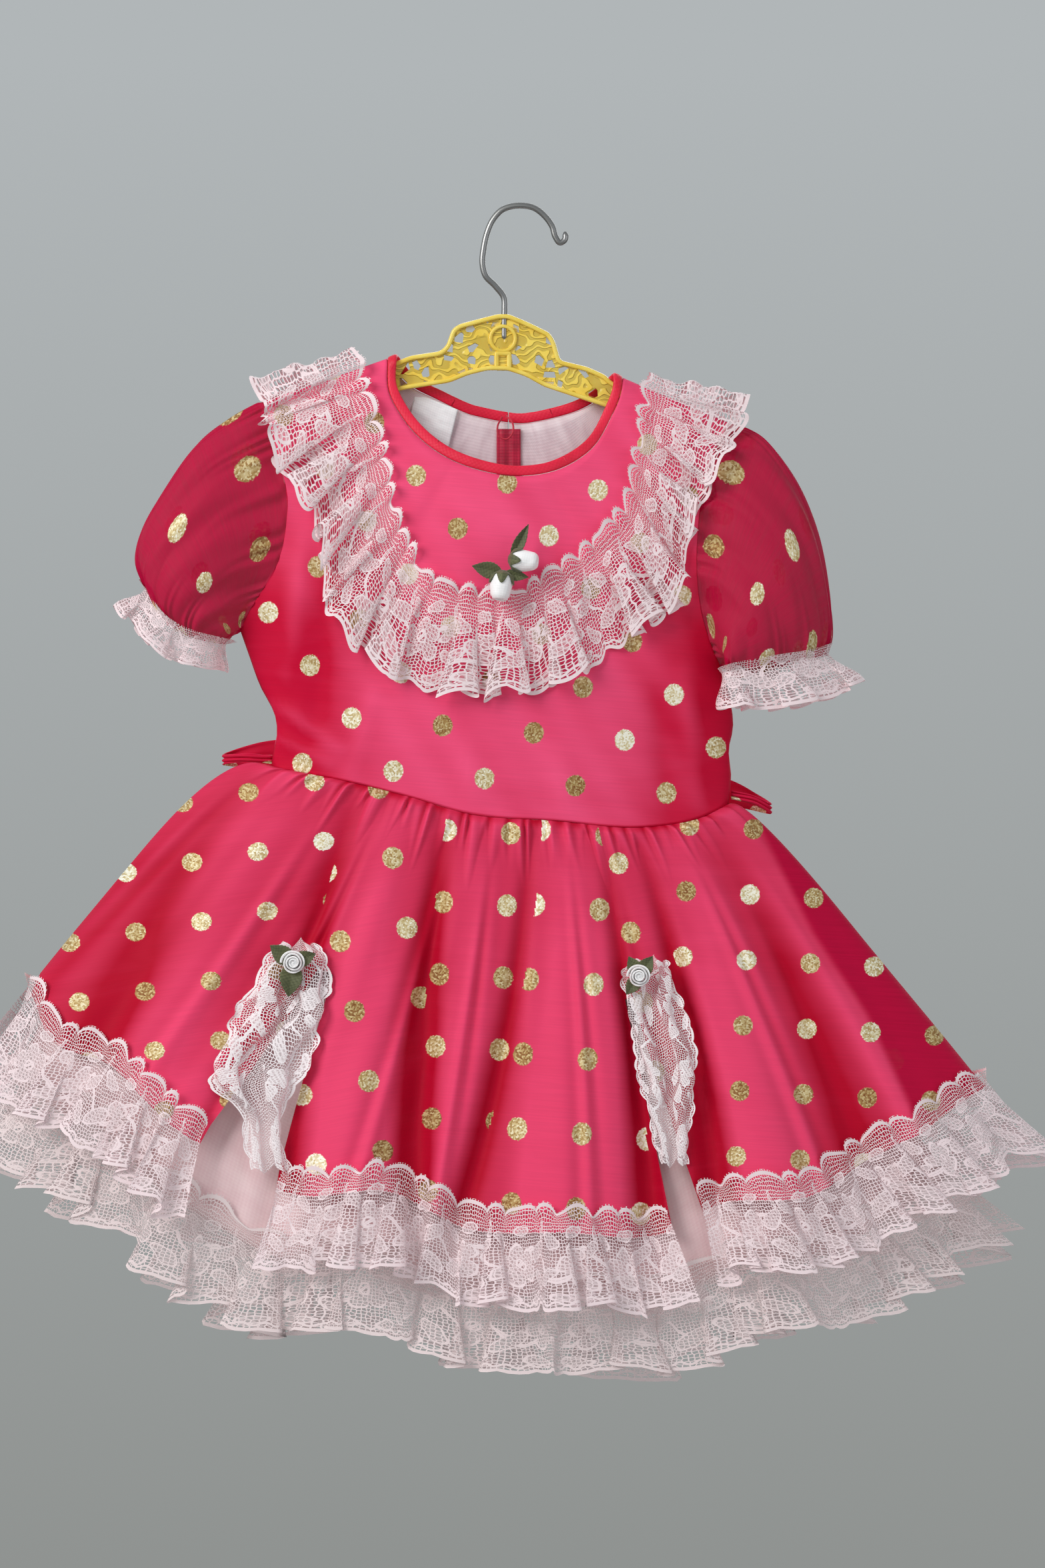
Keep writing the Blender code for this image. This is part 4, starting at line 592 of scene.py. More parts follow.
def bodice(neck_points, sign, drop):
    """Panel as a grid from the neckline (first row) out to armholes, sides and waist."""
    chain, edge_depth, weight, neck, droop = bodice_border()
    inner = curve(neck_points, neck)
    along = np.minimum(neck, 1 - neck) * length_of(neck_points)
    neck_depth = over_shoulder(along) + drop * ease(0, 95.0, along)
    v = np.linspace(0, 1, BODICE_ROWS)[:, None]
    v = 1 - (1 - v) ** 1.25
    flat = inner[None] * (1 - v[..., None]) + chain[None] * v[..., None]
    flat[..., 1] -= UNDERARM_DROOP * droop * np.sin(math.pi * v)
    rounded = 1 - np.sqrt(1 - v**2)
    blend = v * (1 - weight) + rounded * weight
    swell = CHEST_SWELL * np.sin(math.pi * v) * ease(0.0, 0.3, np.minimum(neck, 1 - neck))
    depth = neck_depth * (1 - blend) + edge_depth * blend + swell
    shape = np.stack([flat[..., 0], sign * depth, flat[..., 1]], -1)
    for repeat in range(EASING_PASSES):
        eased = shape.copy()
        eased[:, 1:-1] = (shape[:, :-2] + 2 * shape[:, 1:-1] + shape[:, 2:]) / 4
        shape = shape + (eased - shape) * (np.sin(math.pi * v) ** 0.7)[..., None]
    return shape


# %% [markdown]
# Cloth on a hanger is never smooth. A few soft creases run up from the waist seam, where the
# skirt pulls, and slantwise in from the armholes. Each crease is a gentle ridge along a line.

# %% Soft creases of the front
CREASE_COLUMNS = ("x1", "z1", "x2", "z2", "width", "depth")
CREASES = [
    (-142, -262, -98, -292, 4.0, 1.6),
    (-138, -282, -104, -300, 3.5, 1.4),
    (-118, -180, -126, -250, 6.0, 1.6),
    (-104, -200, -112, -285, 7.0, -1.3),
    (-80, -262, -92, -306, 5.0, 0.9),
    (88, -250, 96, -322, 6.0, 1.3),
    (72, -262, 80, -330, 6.0, -1.0),
    (20, -290, 24, -328, 7.0, 0.7),
    (-30, -290, -26, -324, 6.0, 0.7),
    (-66, -150, -84, -178, 5.0, 0.9),
    (-40, -160, 10, -178, 9.0, 0.6),
]


def creased(points, rows):
    """Height of ridges along lines: a bell across each line that dies out past its ends."""
    x, z = points[..., 0], points[..., 2]
    height = np.zeros_like(x)
    for row in rows:
        x1, z1, x2, z2, width, depth = (row[CREASE_COLUMNS.index(key)] for key in CREASE_COLUMNS)
        step = np.array([x2 - x1, z2 - z1])
        share = ((x - x1) * step[0] + (z - z1) * step[1]) / (step @ step)
        near = np.clip(share, 0, 1)
        away = np.hypot(x - x1 - near * step[0], z - z1 - near * step[1])
        bow = 0.55 + 0.45 * np.sin(math.pi * near)
        height += depth * bow * np.exp(-(away / width) ** 2)
    return height


def dots_of_bodice(points):
    """Flat place of bodice points: the dots' rows fall 4.6 degrees, and run slantwise to the weave."""
    x, z = points[..., 0], points[..., 2]
    row = 0.04047 * x - 0.0031 * z + 2.858
    rank = 0.003 * x + 0.03739 * z + 0.563
    return np.stack([(row + rank) / 2, (row - rank) / 2], -1) * DOT_PITCH / MM


front = bodice(NECK_FRONT, -1, NECK_DROP)
crease = creased(front, CREASES)
front[..., 1] = np.minimum(front[..., 1] - crease, -SEAM / 2)
near_edge = np.linspace(0, 1, BODICE_ROWS)[:, None]
# Painted light and shade in the mark: crease ridges lighter, both sides darker low down where the panel
# turns from the light, and a painted shadow along its outer edge, with a slow random sway of tone.
shade = 0.78 + 0.2 * crease + 0.12 * wander(front[..., 0] / 60 + front[..., 2] / 90, 1)
side_shade = 0.92 * ease(50, 122, np.abs(front[..., 0] + 10)) * ease(-130, -240, front[..., 2])
fold_shade_mark = np.clip(shade - side_shade - 0.6 * ease(0.985, 1.0, near_edge), 0, 1)
surface("bodice_front_cloth", front, lined_organza, ["bodice_front"],
        flat=dots_of_bodice(front), facing=(0, -1, 0), marks={"fold_shade": fold_shade_mark}, thick=0.8,
        held="hung")

# %% [markdown]
# The back is the same panel with the back neckline, split down the middle and buttoned. Inside
# it the pale lining shows through the neck. A red facing strip runs down the opening.

# %% Back halves, lining, facing and label
OPENING_X = -7.0
OPENING_HALF = 0.35
back = bodice(NECK_BACK, 1, NECK_DROP / 2)
middle = back.shape[1] // 2
nearness = np.clip(1 - np.abs(np.arange(back.shape[1]) - middle) / 26, 0, 1)
back[..., 0] += (OPENING_X - back[:, [middle], 0]) * nearness
inside = back - normals_of(back) * np.where(back[:, :, 1:2] > 0, 1.55, 1.0)
for name, part, lined, edge in (("left", slice(0, middle + 1), slice(12, middle + 1), -1),
                                ("right", slice(middle, None), slice(middle, -12), 0)):
    opening = OPENING_X + (OPENING_HALF if name == "right" else -OPENING_HALF)
    outer = back[:, part].copy()
    outer[:, edge, 0] = opening
    outer[..., 1] = np.maximum(outer[..., 1], SEAM / 2)
    surface(f"bodice_back_{name}_cloth", outer, lined_organza, [f"bodice_back_{name}"],
            flat=dots_of_bodice(outer), facing=(0, 1, 0), marks={"fold_shade": 0.8}, thick=0.8,
            held="hung")
    inner = inside[:42, lined].copy()
    inner[:, edge, 0] = opening
    surface(f"back_lining_{name}_cloth", inner, white_lining, [f"back_lining_{name}"],
            facing=(0, -1, 0), thick=0.4, held="hung")


def outermost(x, z, surfaces, side, reach=3.5):
    """Outermost y of the given grids within a reach of each (x, z), in front (-1) or behind (+1)."""
    points = np.concatenate([grid.reshape(-1, 3) for grid in surfaces]).astype(np.float32)
    asked = np.stack([np.ravel(x), np.ravel(z)], 1).astype(np.float32)
    found = []
    for block in np.array_split(asked, max(1, len(asked) // 400)):
        gap = (block[:, :1] - points[None, :, 0]) ** 2 + (block[:, 1:] - points[None, :, 2]) ** 2
        near = np.where(gap < reach**2, side * points[None, :, 1], -np.inf).max(axis=1)
        closest = side * points[gap.argmin(axis=1), 1]
        found.append(np.where(np.isfinite(near), near, closest))
    return side * np.concatenate(found).reshape(np.shape(x))


PLACKET = (-13.4, -0.6)
PLACKET_TOP = -119.0
PLACKET_FOOT = -318.0
z = np.linspace(PLACKET_TOP, PLACKET_FOOT, 60)[:, None] * np.ones((1, 13))
x = np.linspace(*PLACKET, 13)[None] * np.ones((60, 1))
rest = outermost(x, z, [inside[:, 40:-40], back[:, 40:-40]], -1, 4.0)
pleats = 0.5 * np.sin(np.linspace(0, 5 * math.pi, 13))[None]
surface("placket_cloth", np.stack([x, rest - 1.0 + pleats, z], -1), red_facing, ["placket"],
        facing=(0, -1, 0), thick=0.5, held="hung")

LABEL_CORNERS = np.array([(-57.5, -99.5), (-34.3, -108.6), (-41.5, -137), (-64.5, -128)])
a = np.linspace(0, 1, 24)[None, :, None]
b = np.linspace(0, 1, 28)[:, None, None]
flat = (LABEL_CORNERS[0] * (1 - a) + LABEL_CORNERS[1] * a) * (1 - b)
flat = flat + (LABEL_CORNERS[3] * (1 - a) + LABEL_CORNERS[2] * a) * b
rest = outermost(flat[..., 0], flat[..., 1], [inside[:, 40:-40]], -1, 4.0)
curl = 0.8 * b[..., 0] ** 3
surface("label_cloth", np.stack([flat[..., 0], rest - 1.5 - curl, flat[..., 1]], -1), label_cloth,
        ["label"], facing=(0, -1, 0), thick=0.3, held="hung")

# %% [markdown]
# The neckline is bound with a red bias strip, folded over the raw edge. It is a flattened tube
# carried along the neckline. Its stitches are left out. The button loop is a thin round tube.

# %% Neck binding
BINDING_WIDTH = 5.6
BINDING_THICKNESS = 2.2
WELT_STEPS = 16


def toward(start, end, distance):
    """Points at a distance from start, on the way to end."""
    return start + unit(end - start) * distance


def welt(near, far, thickness):
    """Flattened tube between two edges: an ellipse across, squared a little at its sides."""
    centre = (near + far) / 2
    half = (far - near) / 2
    lift = unit(np.cross(np.gradient(centre, axis=0), half)) * thickness / 2
    angle = np.linspace(0, 2 * math.pi, WELT_STEPS, endpoint=False)
    across = np.sign(np.cos(angle)) * np.abs(np.cos(angle)) ** 0.7
    high = np.sign(np.sin(angle)) * np.abs(np.sin(angle)) ** 0.8
    return centre[:, None] + half[:, None] * across[:, None] + lift[:, None] * high[:, None]


edges = []
for distance in (BINDING_WIDTH + SEAM, SEAM):
    ahead = toward(front[0], front[3], -distance)
    behind = toward(back[0], back[3], -distance)
    left = behind[1:middle + 1][::-1].copy()
    right = behind[middle:-1][::-1].copy()
    left[0, 0] = OPENING_X - OPENING_HALF
    right[-1, 0] = OPENING_X + OPENING_HALF
    edges.append(np.concatenate([left, ahead, right]))
binding = welt(edges[0], edges[1], BINDING_THICKNESS)
surface("neck_binding_cloth", binding, red_binding, ["neck_binding"], ring=True, caps=True)


def tube(path, radius, steps=10):
    """Round tube along a path: rings square to it, of one radius or one for each point."""
    path = np.asarray(path, float)
    way = unit(np.gradient(path, axis=0))
    side = np.cross(way, (0.0, 1.0, 0.0))
    side = np.where(np.linalg.norm(side, axis=1, keepdims=True) < 0.2, np.cross(way, (1.0, 0, 0)), side)
    side = unit(side)
    other = unit(np.cross(way, side))
    angle = np.linspace(0, 2 * math.pi, steps, endpoint=False)[None, :, None]
    radius = np.broadcast_to(radius, len(path))[:, None, None]
    return path[:, None] + radius * (np.cos(angle) * side[:, None] + np.sin(angle) * other[:, None])


LOOP_PATH = [(-8.4, 6.0, -112), (-5.0, 3.5, -115.5), (-4.8, 2.5, -121), (-8.0, 2.5, -124.5),
             (-12.2, 3.0, -123), (-13.0, 3.5, -118), (-10.5, 6.0, -112.5)]
surface("button_loop", tube(curve(LOOP_PATH, np.linspace(0, 1, 60)), 0.5), red_thread,
        ring=True, caps=True)

# %% [markdown]
# Each sleeve is an unlined puff: gathered into the armhole and again at the cuff. It is a stack
# of rings between the two, as a coarse grid, and a finer grid is read through it. Gathers are
# small waves along the cloth's own normals that die out towards the middle of the puff.

# %% Sleeves
SLEEVE_COLUMNS = ("top_x", "top_z", "under_x", "under_z", "half_depth", "sag", "lap")
SLEEVE_LEFT = [
    (-157, -114, -153.4, -229, 15, 0, 0),
    (-176, -127.5, -155, -230.2, 21, 2, 0),
    (-193, -151, -156.6, -231.4, 26, 4, 0),
    (-204, -171, -158.2, -232.4, 28, 6, 0),
    (-208, -190, -159.8, -233.3, 25, 8, 0),
    (-201.5, -206, -161.4, -234, 21, 9, 0),
]
SLEEVE_RIGHT = [
    (123, -119, 109.8, -247.6, 15, 0, 3),
    (134, -127.5, 111.4, -248.4, 20, 1, 6),
    (149, -149.5, 113, -249.2, 25, 2, 9),
    (159.5, -176, 114.6, -250, 28, 2, 12),
    (165.5, -206, 116.2, -250.8, 27, 2, 15),
    (167, -228, 117.8, -251.6, 23, 1, 17),
    (164, -241, 119.4, -252.4, 19, 0, 18),
]
CUFF_EDGES = {
    "left": (-212, -219, -166, -246, 23, 10, 0),
    "right": (177, -259, 124, -266, 25, 8, 19),
}
RING_STEPS = 12
LAP_PEAK = 0.1055
LAP_LIFT = 0.45
SLEEVE_ROWS = 84
SLEEVE_STEP = 12


def sleeve_ring(row):
    """One ring from its table row: half ellipses in front and behind."""
    values = dict(zip(SLEEVE_COLUMNS, row))
    top = np.array([values["top_x"], values["top_z"]])
    under = np.array([values["under_x"], values["under_z"]])
    share = ring_shares(RING_STEPS)
    line = (under - top) / np.linalg.norm(under - top)
    hand = 1 if top[0] < under[0] else -1
    down = np.array([line[1], -line[0]]) * hand
    flat = top + (under - top) * share[:, None]
    flat = flat + down * values["sag"] * np.sin(math.pi * share)[:, None]
    arc = 2 * np.sqrt(share * (1 - share))
    lap = values["lap"] * share**3 * (1 - share) / LAP_PEAK
    ahead = np.stack([flat[:, 0] - lap, -values["half_depth"] * arc - LAP_LIFT * lap, flat[:, 1]], -1)
    behind = np.stack([flat[:, 0], values["half_depth"] * arc, flat[:, 1]], -1)
    return ahead, behind


def sleeve_grid(rows, armhole):
    """The armhole itself, then the table's rings, which lose its hollow curve."""
    share = ring_shares(RING_STEPS)
    edge = curve(armhole, share)
    depth = armhole_depth(share, length_of(armhole))
    depth[[0, -1]] = 0
    first = np.stack([edge[:, 0], -depth, edge[:, 1]], -1)
    hollow = edge - (edge[0] + (edge[-1] - edge[0]) * share[:, None])
    rings = [np.concatenate([first, (first * (1, -1, 1))[-2:0:-1]])]
    for number, row in enumerate(rows, start=1):
        ahead, behind = sleeve_ring(row)
        fade = (1 - number / len(rows)) ** 2
        ahead[:, [0, 2]] += hollow * fade
        behind[:, [0, 2]] += hollow * fade
        rings.append(np.concatenate([ahead, behind[-2:0:-1]]))
    return np.array(rings)


def away_from_middle(points):
    """Normals of a ring of cloth, turned outwards."""
    normals = normals_of(points, True)
    facing = (normals * (points - points.mean(axis=1, keepdims=True))).sum()
    return normals * (1 if facing > 0 else -1)


SLEEVE_DOTS = {"left": (-185.7, -172.4), "right": (145.9, -181.4)}
PUFFS = {"left": (SLEEVE_LEFT, ARMHOLE_LEFT, 1), "right": (SLEEVE_RIGHT, ARMHOLE_RIGHT, 2)}
sleeve_points = {}
for side, (rows, armhole, seed) in PUFFS.items():
    coarse = sleeve_grid(rows, armhole)
    smooth = around(between(coarse, SLEEVE_ROWS), coarse.shape[1] * SLEEVE_STEP)
    down = np.linspace(0, 1, SLEEVE_ROWS)[:, None]
    round_it = np.arange(smooth.shape[1])[None] / smooth.shape[1]
    at_armhole = np.clip(1 - down / (0.42 + 0.2 * wander(round_it * 9, seed)), 0, 1) ** 1.4
    at_cuff = np.clip(1 - (1 - down) / (0.38 + 0.2 * wander(round_it * 7, seed + 2)), 0, 1) ** 1.4
    gathers = 1.3 * at_armhole * np.sin(2 * math.pi * (30 * round_it + 0.8 * wander(round_it * 5, seed)))
    cuff_turns = 26 * round_it + 0.9 * wander(round_it * 6, seed)
    gathers = gathers + 1.7 * at_cuff * np.sin(2 * math.pi * cuff_turns)
    soft = 2.0 * np.sin(math.pi * down) * wander(round_it * 6 + down * 0.5, seed + 3)
    sway = (gathers * ease(0, 0.03, down) + soft)[..., None]
    puff = smooth + away_from_middle(smooth) * sway
    flat = flat_place(puff, True)
    gap = np.hypot(puff[..., 0] - SLEEVE_DOTS[side][0], puff[..., 2] - SLEEVE_DOTS[side][1])
    nearest = np.unravel_index((gap + 100 * (puff[..., 1] > 0)).argmin(), gap.shape)
    flat = flat - flat[nearest]
    # Painted light and shade: the crests of the gathers and puffs are painted lighter and their hollows
    # darker.
    fold_shade_mark = np.clip(0.55 + 0.16 * sway[..., 0], 0, 1)
    surface(f"sleeve_{side}_cloth", puff, sleeve_organza, [f"sleeve_{side}"],
            flat=flat, ring=True, marks={"fold_shade": fold_shade_mark, "unlined": 1.0},
            held="gathered")
    sleeve_points[side] = (coarse, puff)

# %% [markdown]
# A gathered lace frill meanders: its folds lean over each other. So each wave moves the lace
# outwards and, at twice the pace, along the seam, and its free edge is scalloped in the mesh.

# %% Cuffs of lace
SCALLOP = 11.0
SCALLOP_DEPTH = 1.7
CUFF_GATHER = 1.7


def waves_of(place, waves, seed):
    """Turn of the wave in radians at places 0..1: even waves, pulled about by a slow sway."""
    return 2 * math.pi * (waves * place + 0.34 * wander(place * waves / 4.1, seed))


def stand_of(turn, place, waves, seed):
    """How far out a wave stands, 0..1: a raised cosine of uneven height."""
    uneven = 0.82 + 0.18 * wander(place * waves / 2.3, seed + 5)
    return (0.5 - 0.5 * np.cos(turn)) * uneven


def scallops(length):
    """Bite of the scalloped edge, 0..1, at lengths in mm: round lobes with sharp corners."""
    return 1 - np.abs(np.sin(math.pi * length / SCALLOP)) ** 0.6


CUFF_HEADER = 5.0
CUFF_WAVES = 7
CUFF_LACE_ROWS = 26
CUFF_LACE_WIDTH = 30.0
CUFF_LACE_FALL = 26.0
CUFF_SEAM = 0.2
CUFF_FLUTE_STAND = 9.5
CUFF_FLUTE_LEAN = 6.0
for side, (coarse, puff) in sleeve_points.items():
    header = toward(coarse[-1], coarse[-2], CUFF_HEADER)
    ahead, behind = sleeve_ring(CUFF_EDGES[side])
    edge = np.concatenate([ahead, behind[-2:0:-1]])
    ring = around(np.array([header, coarse[-1], edge]), coarse.shape[1] * 16)
    round_it = np.arange(ring.shape[1])[None] / ring.shape[1]
    away = away_from_middle(ring)
    turn = waves_of(round_it, CUFF_WAVES, 3)
    out = stand_of(turn, round_it, CUFF_WAVES, 4)
    along = unit(np.roll(ring, -1, axis=1) - np.roll(ring, 1, axis=1))
    t = np.linspace(0, 1, CUFF_LACE_ROWS)[:, None]
    below = ease(CUFF_SEAM, 1.0, t) * (t > CUFF_SEAM)
    lean = np.where(t < CUFF_SEAM, (CUFF_SEAM - t) / CUFF_SEAM, 0)
    reach = np.where(t < CUFF_SEAM, 0, (t - CUFF_SEAM) / (1 - CUFF_SEAM))
    length = length_of(ring[1]) * CUFF_GATHER
    bite = scallops(round_it * length) * SCALLOP_DEPTH / CUFF_LACE_FALL
    reach = reach * (1 - bite)
    base = ring[1][None] + (ring[0] - ring[1])[None] * lean[..., None]
    base = base + (ring[2] - ring[1])[None] * reach[..., None]
    stand = 2.0 + (2.4 * lean + 0.4 + CUFF_FLUTE_STAND * below) * out
    sideways = (CUFF_FLUTE_LEAN * below + 0.8 * lean) * np.sin(2 * turn)
    frill = base + away[1][None] * stand[..., None] + along[1][None] * sideways[..., None]
    flat_u = np.append(round_it[0], 1.0)[None] * length * np.ones_like(t)
    flat_v = (1 - t) * CUFF_LACE_WIDTH * np.ones((1, ring.shape[1] + 1))
    surface(f"cuff_lace_{side}_cloth", frill, white_lace, [f"cuff_lace_{side}"],
            flat=np.stack([flat_u, flat_v], -1), ring=True, held="gathered")

# %% [markdown]
# The collar is one long strip of lace, 52 mm wide. It is sewn in a deep U over the front, over
# both shoulders and round the back, a little below its inner edge, so that a small wavy header
# stands up inside the seam. It rests on the bodice and the tops of the sleeves.

# %% Collar of lace
COLLAR_INNER = [(-90, -78), (-84, -97), (-76.2, -121.3), (-69.7, -152.6), (-61.8, -177.5),
                (-48.1, -199), (-25.8, -205), (-8, -208), (8, -200), (26, -188.6), (44, -173.2),
                (56.3, -157.3), (61, -134.6), (64.2, -115), (67, -90)]
COLLAR_OUTER = [(-143.5, -95), (-134, -134), (-116, -160), (-107.5, -195), (-104, -220),
                (-84, -241), (-58, -257), (-20, -263), (10, -259), (38, -247), (62, -230),
                (86, -212), (91, -183), (97, -157.3), (109, -136), (121.5, -112)]
COLLAR_INNER_BACK = [(-90, -78), (-78, -110), (-52, -136), (-11, -148)]
COLLAR_OUTER_BACK = [(-143.5, -95), (-128, -140), (-92, -178), (-11, -197)]
COLLAR_INNER_BACK_RIGHT = [(67, -90), (55, -118), (34, -138), (-3, -148)]
COLLAR_OUTER_BACK_RIGHT = [(121.5, -112), (108, -150), (72, -181), (-3, -197)]
COLLAR_WAVES = 27
COLLAR_BACK_WAVES = 6
COLLAR_BROAD_WAVES = 18
COLLAR_LACE_ROWS = 36
COLLAR_SEAM = 0.17
COLLAR_GATHER = 1.35
COLLAR_FLUTE_STAND = 9.5
COLLAR_FLUTE_LEAN = 8.0
LACE_WIDTH = 52.0
WAVE_STEPS = 16

grids = [front, back] + [puff[::2, ::3] for coarse, puff in sleeve_points.values()]
stretches = [
    (1, COLLAR_INNER_BACK, COLLAR_OUTER_BACK, COLLAR_BACK_WAVES, True),
    (-1, COLLAR_INNER, COLLAR_OUTER, COLLAR_WAVES, False),
    (1, COLLAR_INNER_BACK_RIGHT, COLLAR_OUTER_BACK_RIGHT, COLLAR_BACK_WAVES, False),
]
parts = []
for side, inner, outer, waves, backwards in stretches:
    share = np.linspace(0, 1, 4 * waves + 1)
    share = share[::-1] if backwards else share
    share = share if not parts else share[1:]
    across = np.linspace(0, 1, 9)[None, :, None]
    flat = curve(inner, share)[:, None] * (1 - across) + curve(outer, share)[:, None] * across
    depth = side * outermost(flat[..., 0], flat[..., 1], grids, side, 4.0)
    depth = np.maximum(depth, over_shoulder(SHOULDER_DEPTH)) * np.where(share < 0.012, 0.0, 1.0)[:, None]
    parts.append(np.stack([flat[..., 0], side * depth, flat[..., 1]], -1))
base = np.concatenate(parts)
ends = (4 * COLLAR_BACK_WAVES, 4 * COLLAR_BACK_WAVES + 4 * COLLAR_WAVES)
for ridge in ends:
    base[ridge, :, 1] = 0
count = (len(base) - 1) * WAVE_STEPS // 2 + 1
base = between(base, count).transpose(1, 0, 2)
base = between(base, COLLAR_LACE_ROWS)
place = np.linspace(0, 1, count)[None]
all_waves = COLLAR_WAVES + 2 * COLLAR_BACK_WAVES
turn = waves_of(place, all_waves, 1)
out = stand_of(turn, place, all_waves, 2)
t = np.linspace(0, 1, COLLAR_LACE_ROWS)[:, None]
header = np.clip((COLLAR_SEAM - t) / COLLAR_SEAM, 0, 1)
free = np.clip((t - COLLAR_SEAM) / (1 - COLLAR_SEAM), 0, 1)
sign = np.where(place * (count - 1) < ends[0] * WAVE_STEPS / 2, 1, -1)
sign = np.where(place * (count - 1) > ends[1] * WAVE_STEPS / 2, 1, sign)
near_ridge = np.minimum(np.abs(place * (count - 1) - ends[0] * WAVE_STEPS / 2),
                        np.abs(place * (count - 1) - ends[1] * WAVE_STEPS / 2))
steady = ease(0, WAVE_STEPS / 2, near_ridge)
along = unit(np.gradient(base, axis=1))
outwards = unit(np.gradient(base, axis=0)) * (1, 0, 1)
broad_turn = waves_of(place, COLLAR_BROAD_WAVES, 5)
broad = stand_of(broad_turn, place, COLLAR_BROAD_WAVES, 6)
quick = (1.0 + 3.6 * header + 2.2 * ease(0, 0.3, free) * (1 - 0.7 * free)) * out
stand = 1.9 + quick + COLLAR_FLUTE_STAND * free**0.9 * broad
sideways = 1.4 * free * (1 - free) * np.sin(2 * turn) - 1.6 * header * np.sin(turn)
sideways = sideways + COLLAR_FLUTE_LEAN * free * np.sin(2 * broad_turn)
length = length_of(base[COLLAR_LACE_ROWS // 2]) * COLLAR_GATHER
bite = scallops(place * length) * SCALLOP_DEPTH * free**6 + 4.6 * free * wander(place * 31, 8)
frill = base + np.stack([0 * stand, sign * stand * (0.25 + 0.75 * steady), 0 * stand], -1)
frill[..., 2] += (1 - steady) * (stand * 1.3 + 2.5 * wander(t * 1.7 + place * 3, 2) * ease(0, 0.2, t))
frill = frill + along * sideways[..., None]
frill = frill - outwards * (bite + header * (8.0 * out - 2.6))[..., None]
flat_u = place * length * np.ones_like(t)
flat_v = (1 - t) * LACE_WIDTH * np.ones_like(place)
surface("collar_lace_cloth", frill, white_lace, ["collar_lace"],
        flat=np.stack([flat_u, flat_v], -1), facing=(0, -1, 0), held="gathered")

# %% [markdown]
# Both skirts hang from the waist seam. A point of a skirt has a place u along the waist and a
# fall v from the waist (0) to the hem (1). Straight gore lines join waist and hem, the sides
# swell a little, and folds move the cloth outwards: bell-shaped ridges and valleys that start at
# nothing at the waist. Gathers are fine pleats that die out below the seam.

# %% Shape of the skirts
HEM = [(-257, -413), (-246, -438), (-214, -453), (-181, -485), (-150, -505), (-122, -520),
       (-70, -519), (-28, -539), (20, -541), (77, -541), (101, -527), (150, -522), (179, -505),
       (211, -485), (239.5, -465)]
HEM_DEPTH = {"front": 58.0, "back": 34.0}
SWELL_LEFT = (-11.0, 13.0)
SWELL_RIGHT = (4.0, 6.0)
INNER_SWELL = 0.35
FRONT_FOLDS = [
    (0.03, 0.085, 0.024, -4.0),
    (0.08, 0.16, 0.050, 4.0),
    (0.20, 0.30, 0.024, -6.0),
    (0.29, 0.37, 0.040, 6.0),
    (0.388, 0.432, 0.020, -9.0),
    (0.47, 0.455, 0.030, 4.0),
    (0.568, 0.482, 0.015, -6.0),
    (0.64, 0.585, 0.045, 7.0),
    (0.711, 0.662, 0.014, -6.0),
    (0.79, 0.733, 0.015, -6.0),
    (0.86, 0.79, 0.040, 6.0),
    (0.92, 0.87, 0.028, -4.0),
    (0.97, 0.93, 0.022, 3.0),
]
BACK_FOLDS = [
    (0.12, 0.10, 0.040, 5.0),
    (0.24, 0.23, 0.036, -6.0),
    (0.37, 0.36, 0.040, 6.0),
    (0.50, 0.50, 0.036, -6.0),
    (0.62, 0.64, 0.040, 6.0),
    (0.75, 0.77, 0.036, -6.0),
    (0.88, 0.90, 0.040, 5.0),
]
GATHERS = {"front": 28, "back": 20}
GATHER_DEPTH = 4.4
GATHER_REACH = 0.11
RELIEF = 1.35
LEFT_FALL = (0.33, -0.24)


def narrowed(u, v, narrow):
    """The place along the overskirt that a narrower skirt inside it lies behind."""
    return u - narrow * u**6 * ease(0, 0.3, v)


def gore_length(u):
    """Length of the straight gore line from waist to hem."""
    return np.linalg.norm(curve(HEM, u) - curve(WAIST, u), axis=-1)


def skirt_base(side, u, v, narrow):
    """Skirt without folds: straight gore lines from waist to hem, swelling at the sides."""
    place = narrowed(u, v, narrow)
    top = curve(WAIST, place)
    hem = curve(HEM, place)
    round_out = np.sin(math.pi * np.sqrt(np.clip(v, 0, 1)))[..., None]
    swell = np.array(SWELL_LEFT) * ((1 - place) ** 8)[..., None]
    swell = swell + np.array(SWELL_RIGHT) * (place**8)[..., None]
    if narrow:
        swell = swell * INNER_SWELL
    below = (np.clip(v - 1, 0, None) * gore_length(place) * (1 - place) ** 4)[..., None]
    flat = top + (hem - top) * v[..., None] + swell * round_out + below * np.array(LEFT_FALL)
    fall = np.clip(v, 0, None)
    waist = WAIST_DEPTH * np.sqrt(np.clip(1 - (2 * u - 1) ** 2, 0, 1)) * np.clip(1 - fall, 0, 1)
    hem_depth = HEM_DEPTH[side] * (1 - np.abs(2 * u - 1) ** 2.6) ** 0.55 * fall
    sign = -1 if side == "front" else 1
    return np.stack([flat[..., 0], sign * (waist + hem_depth + SEAM / 2), flat[..., 1]], -1)


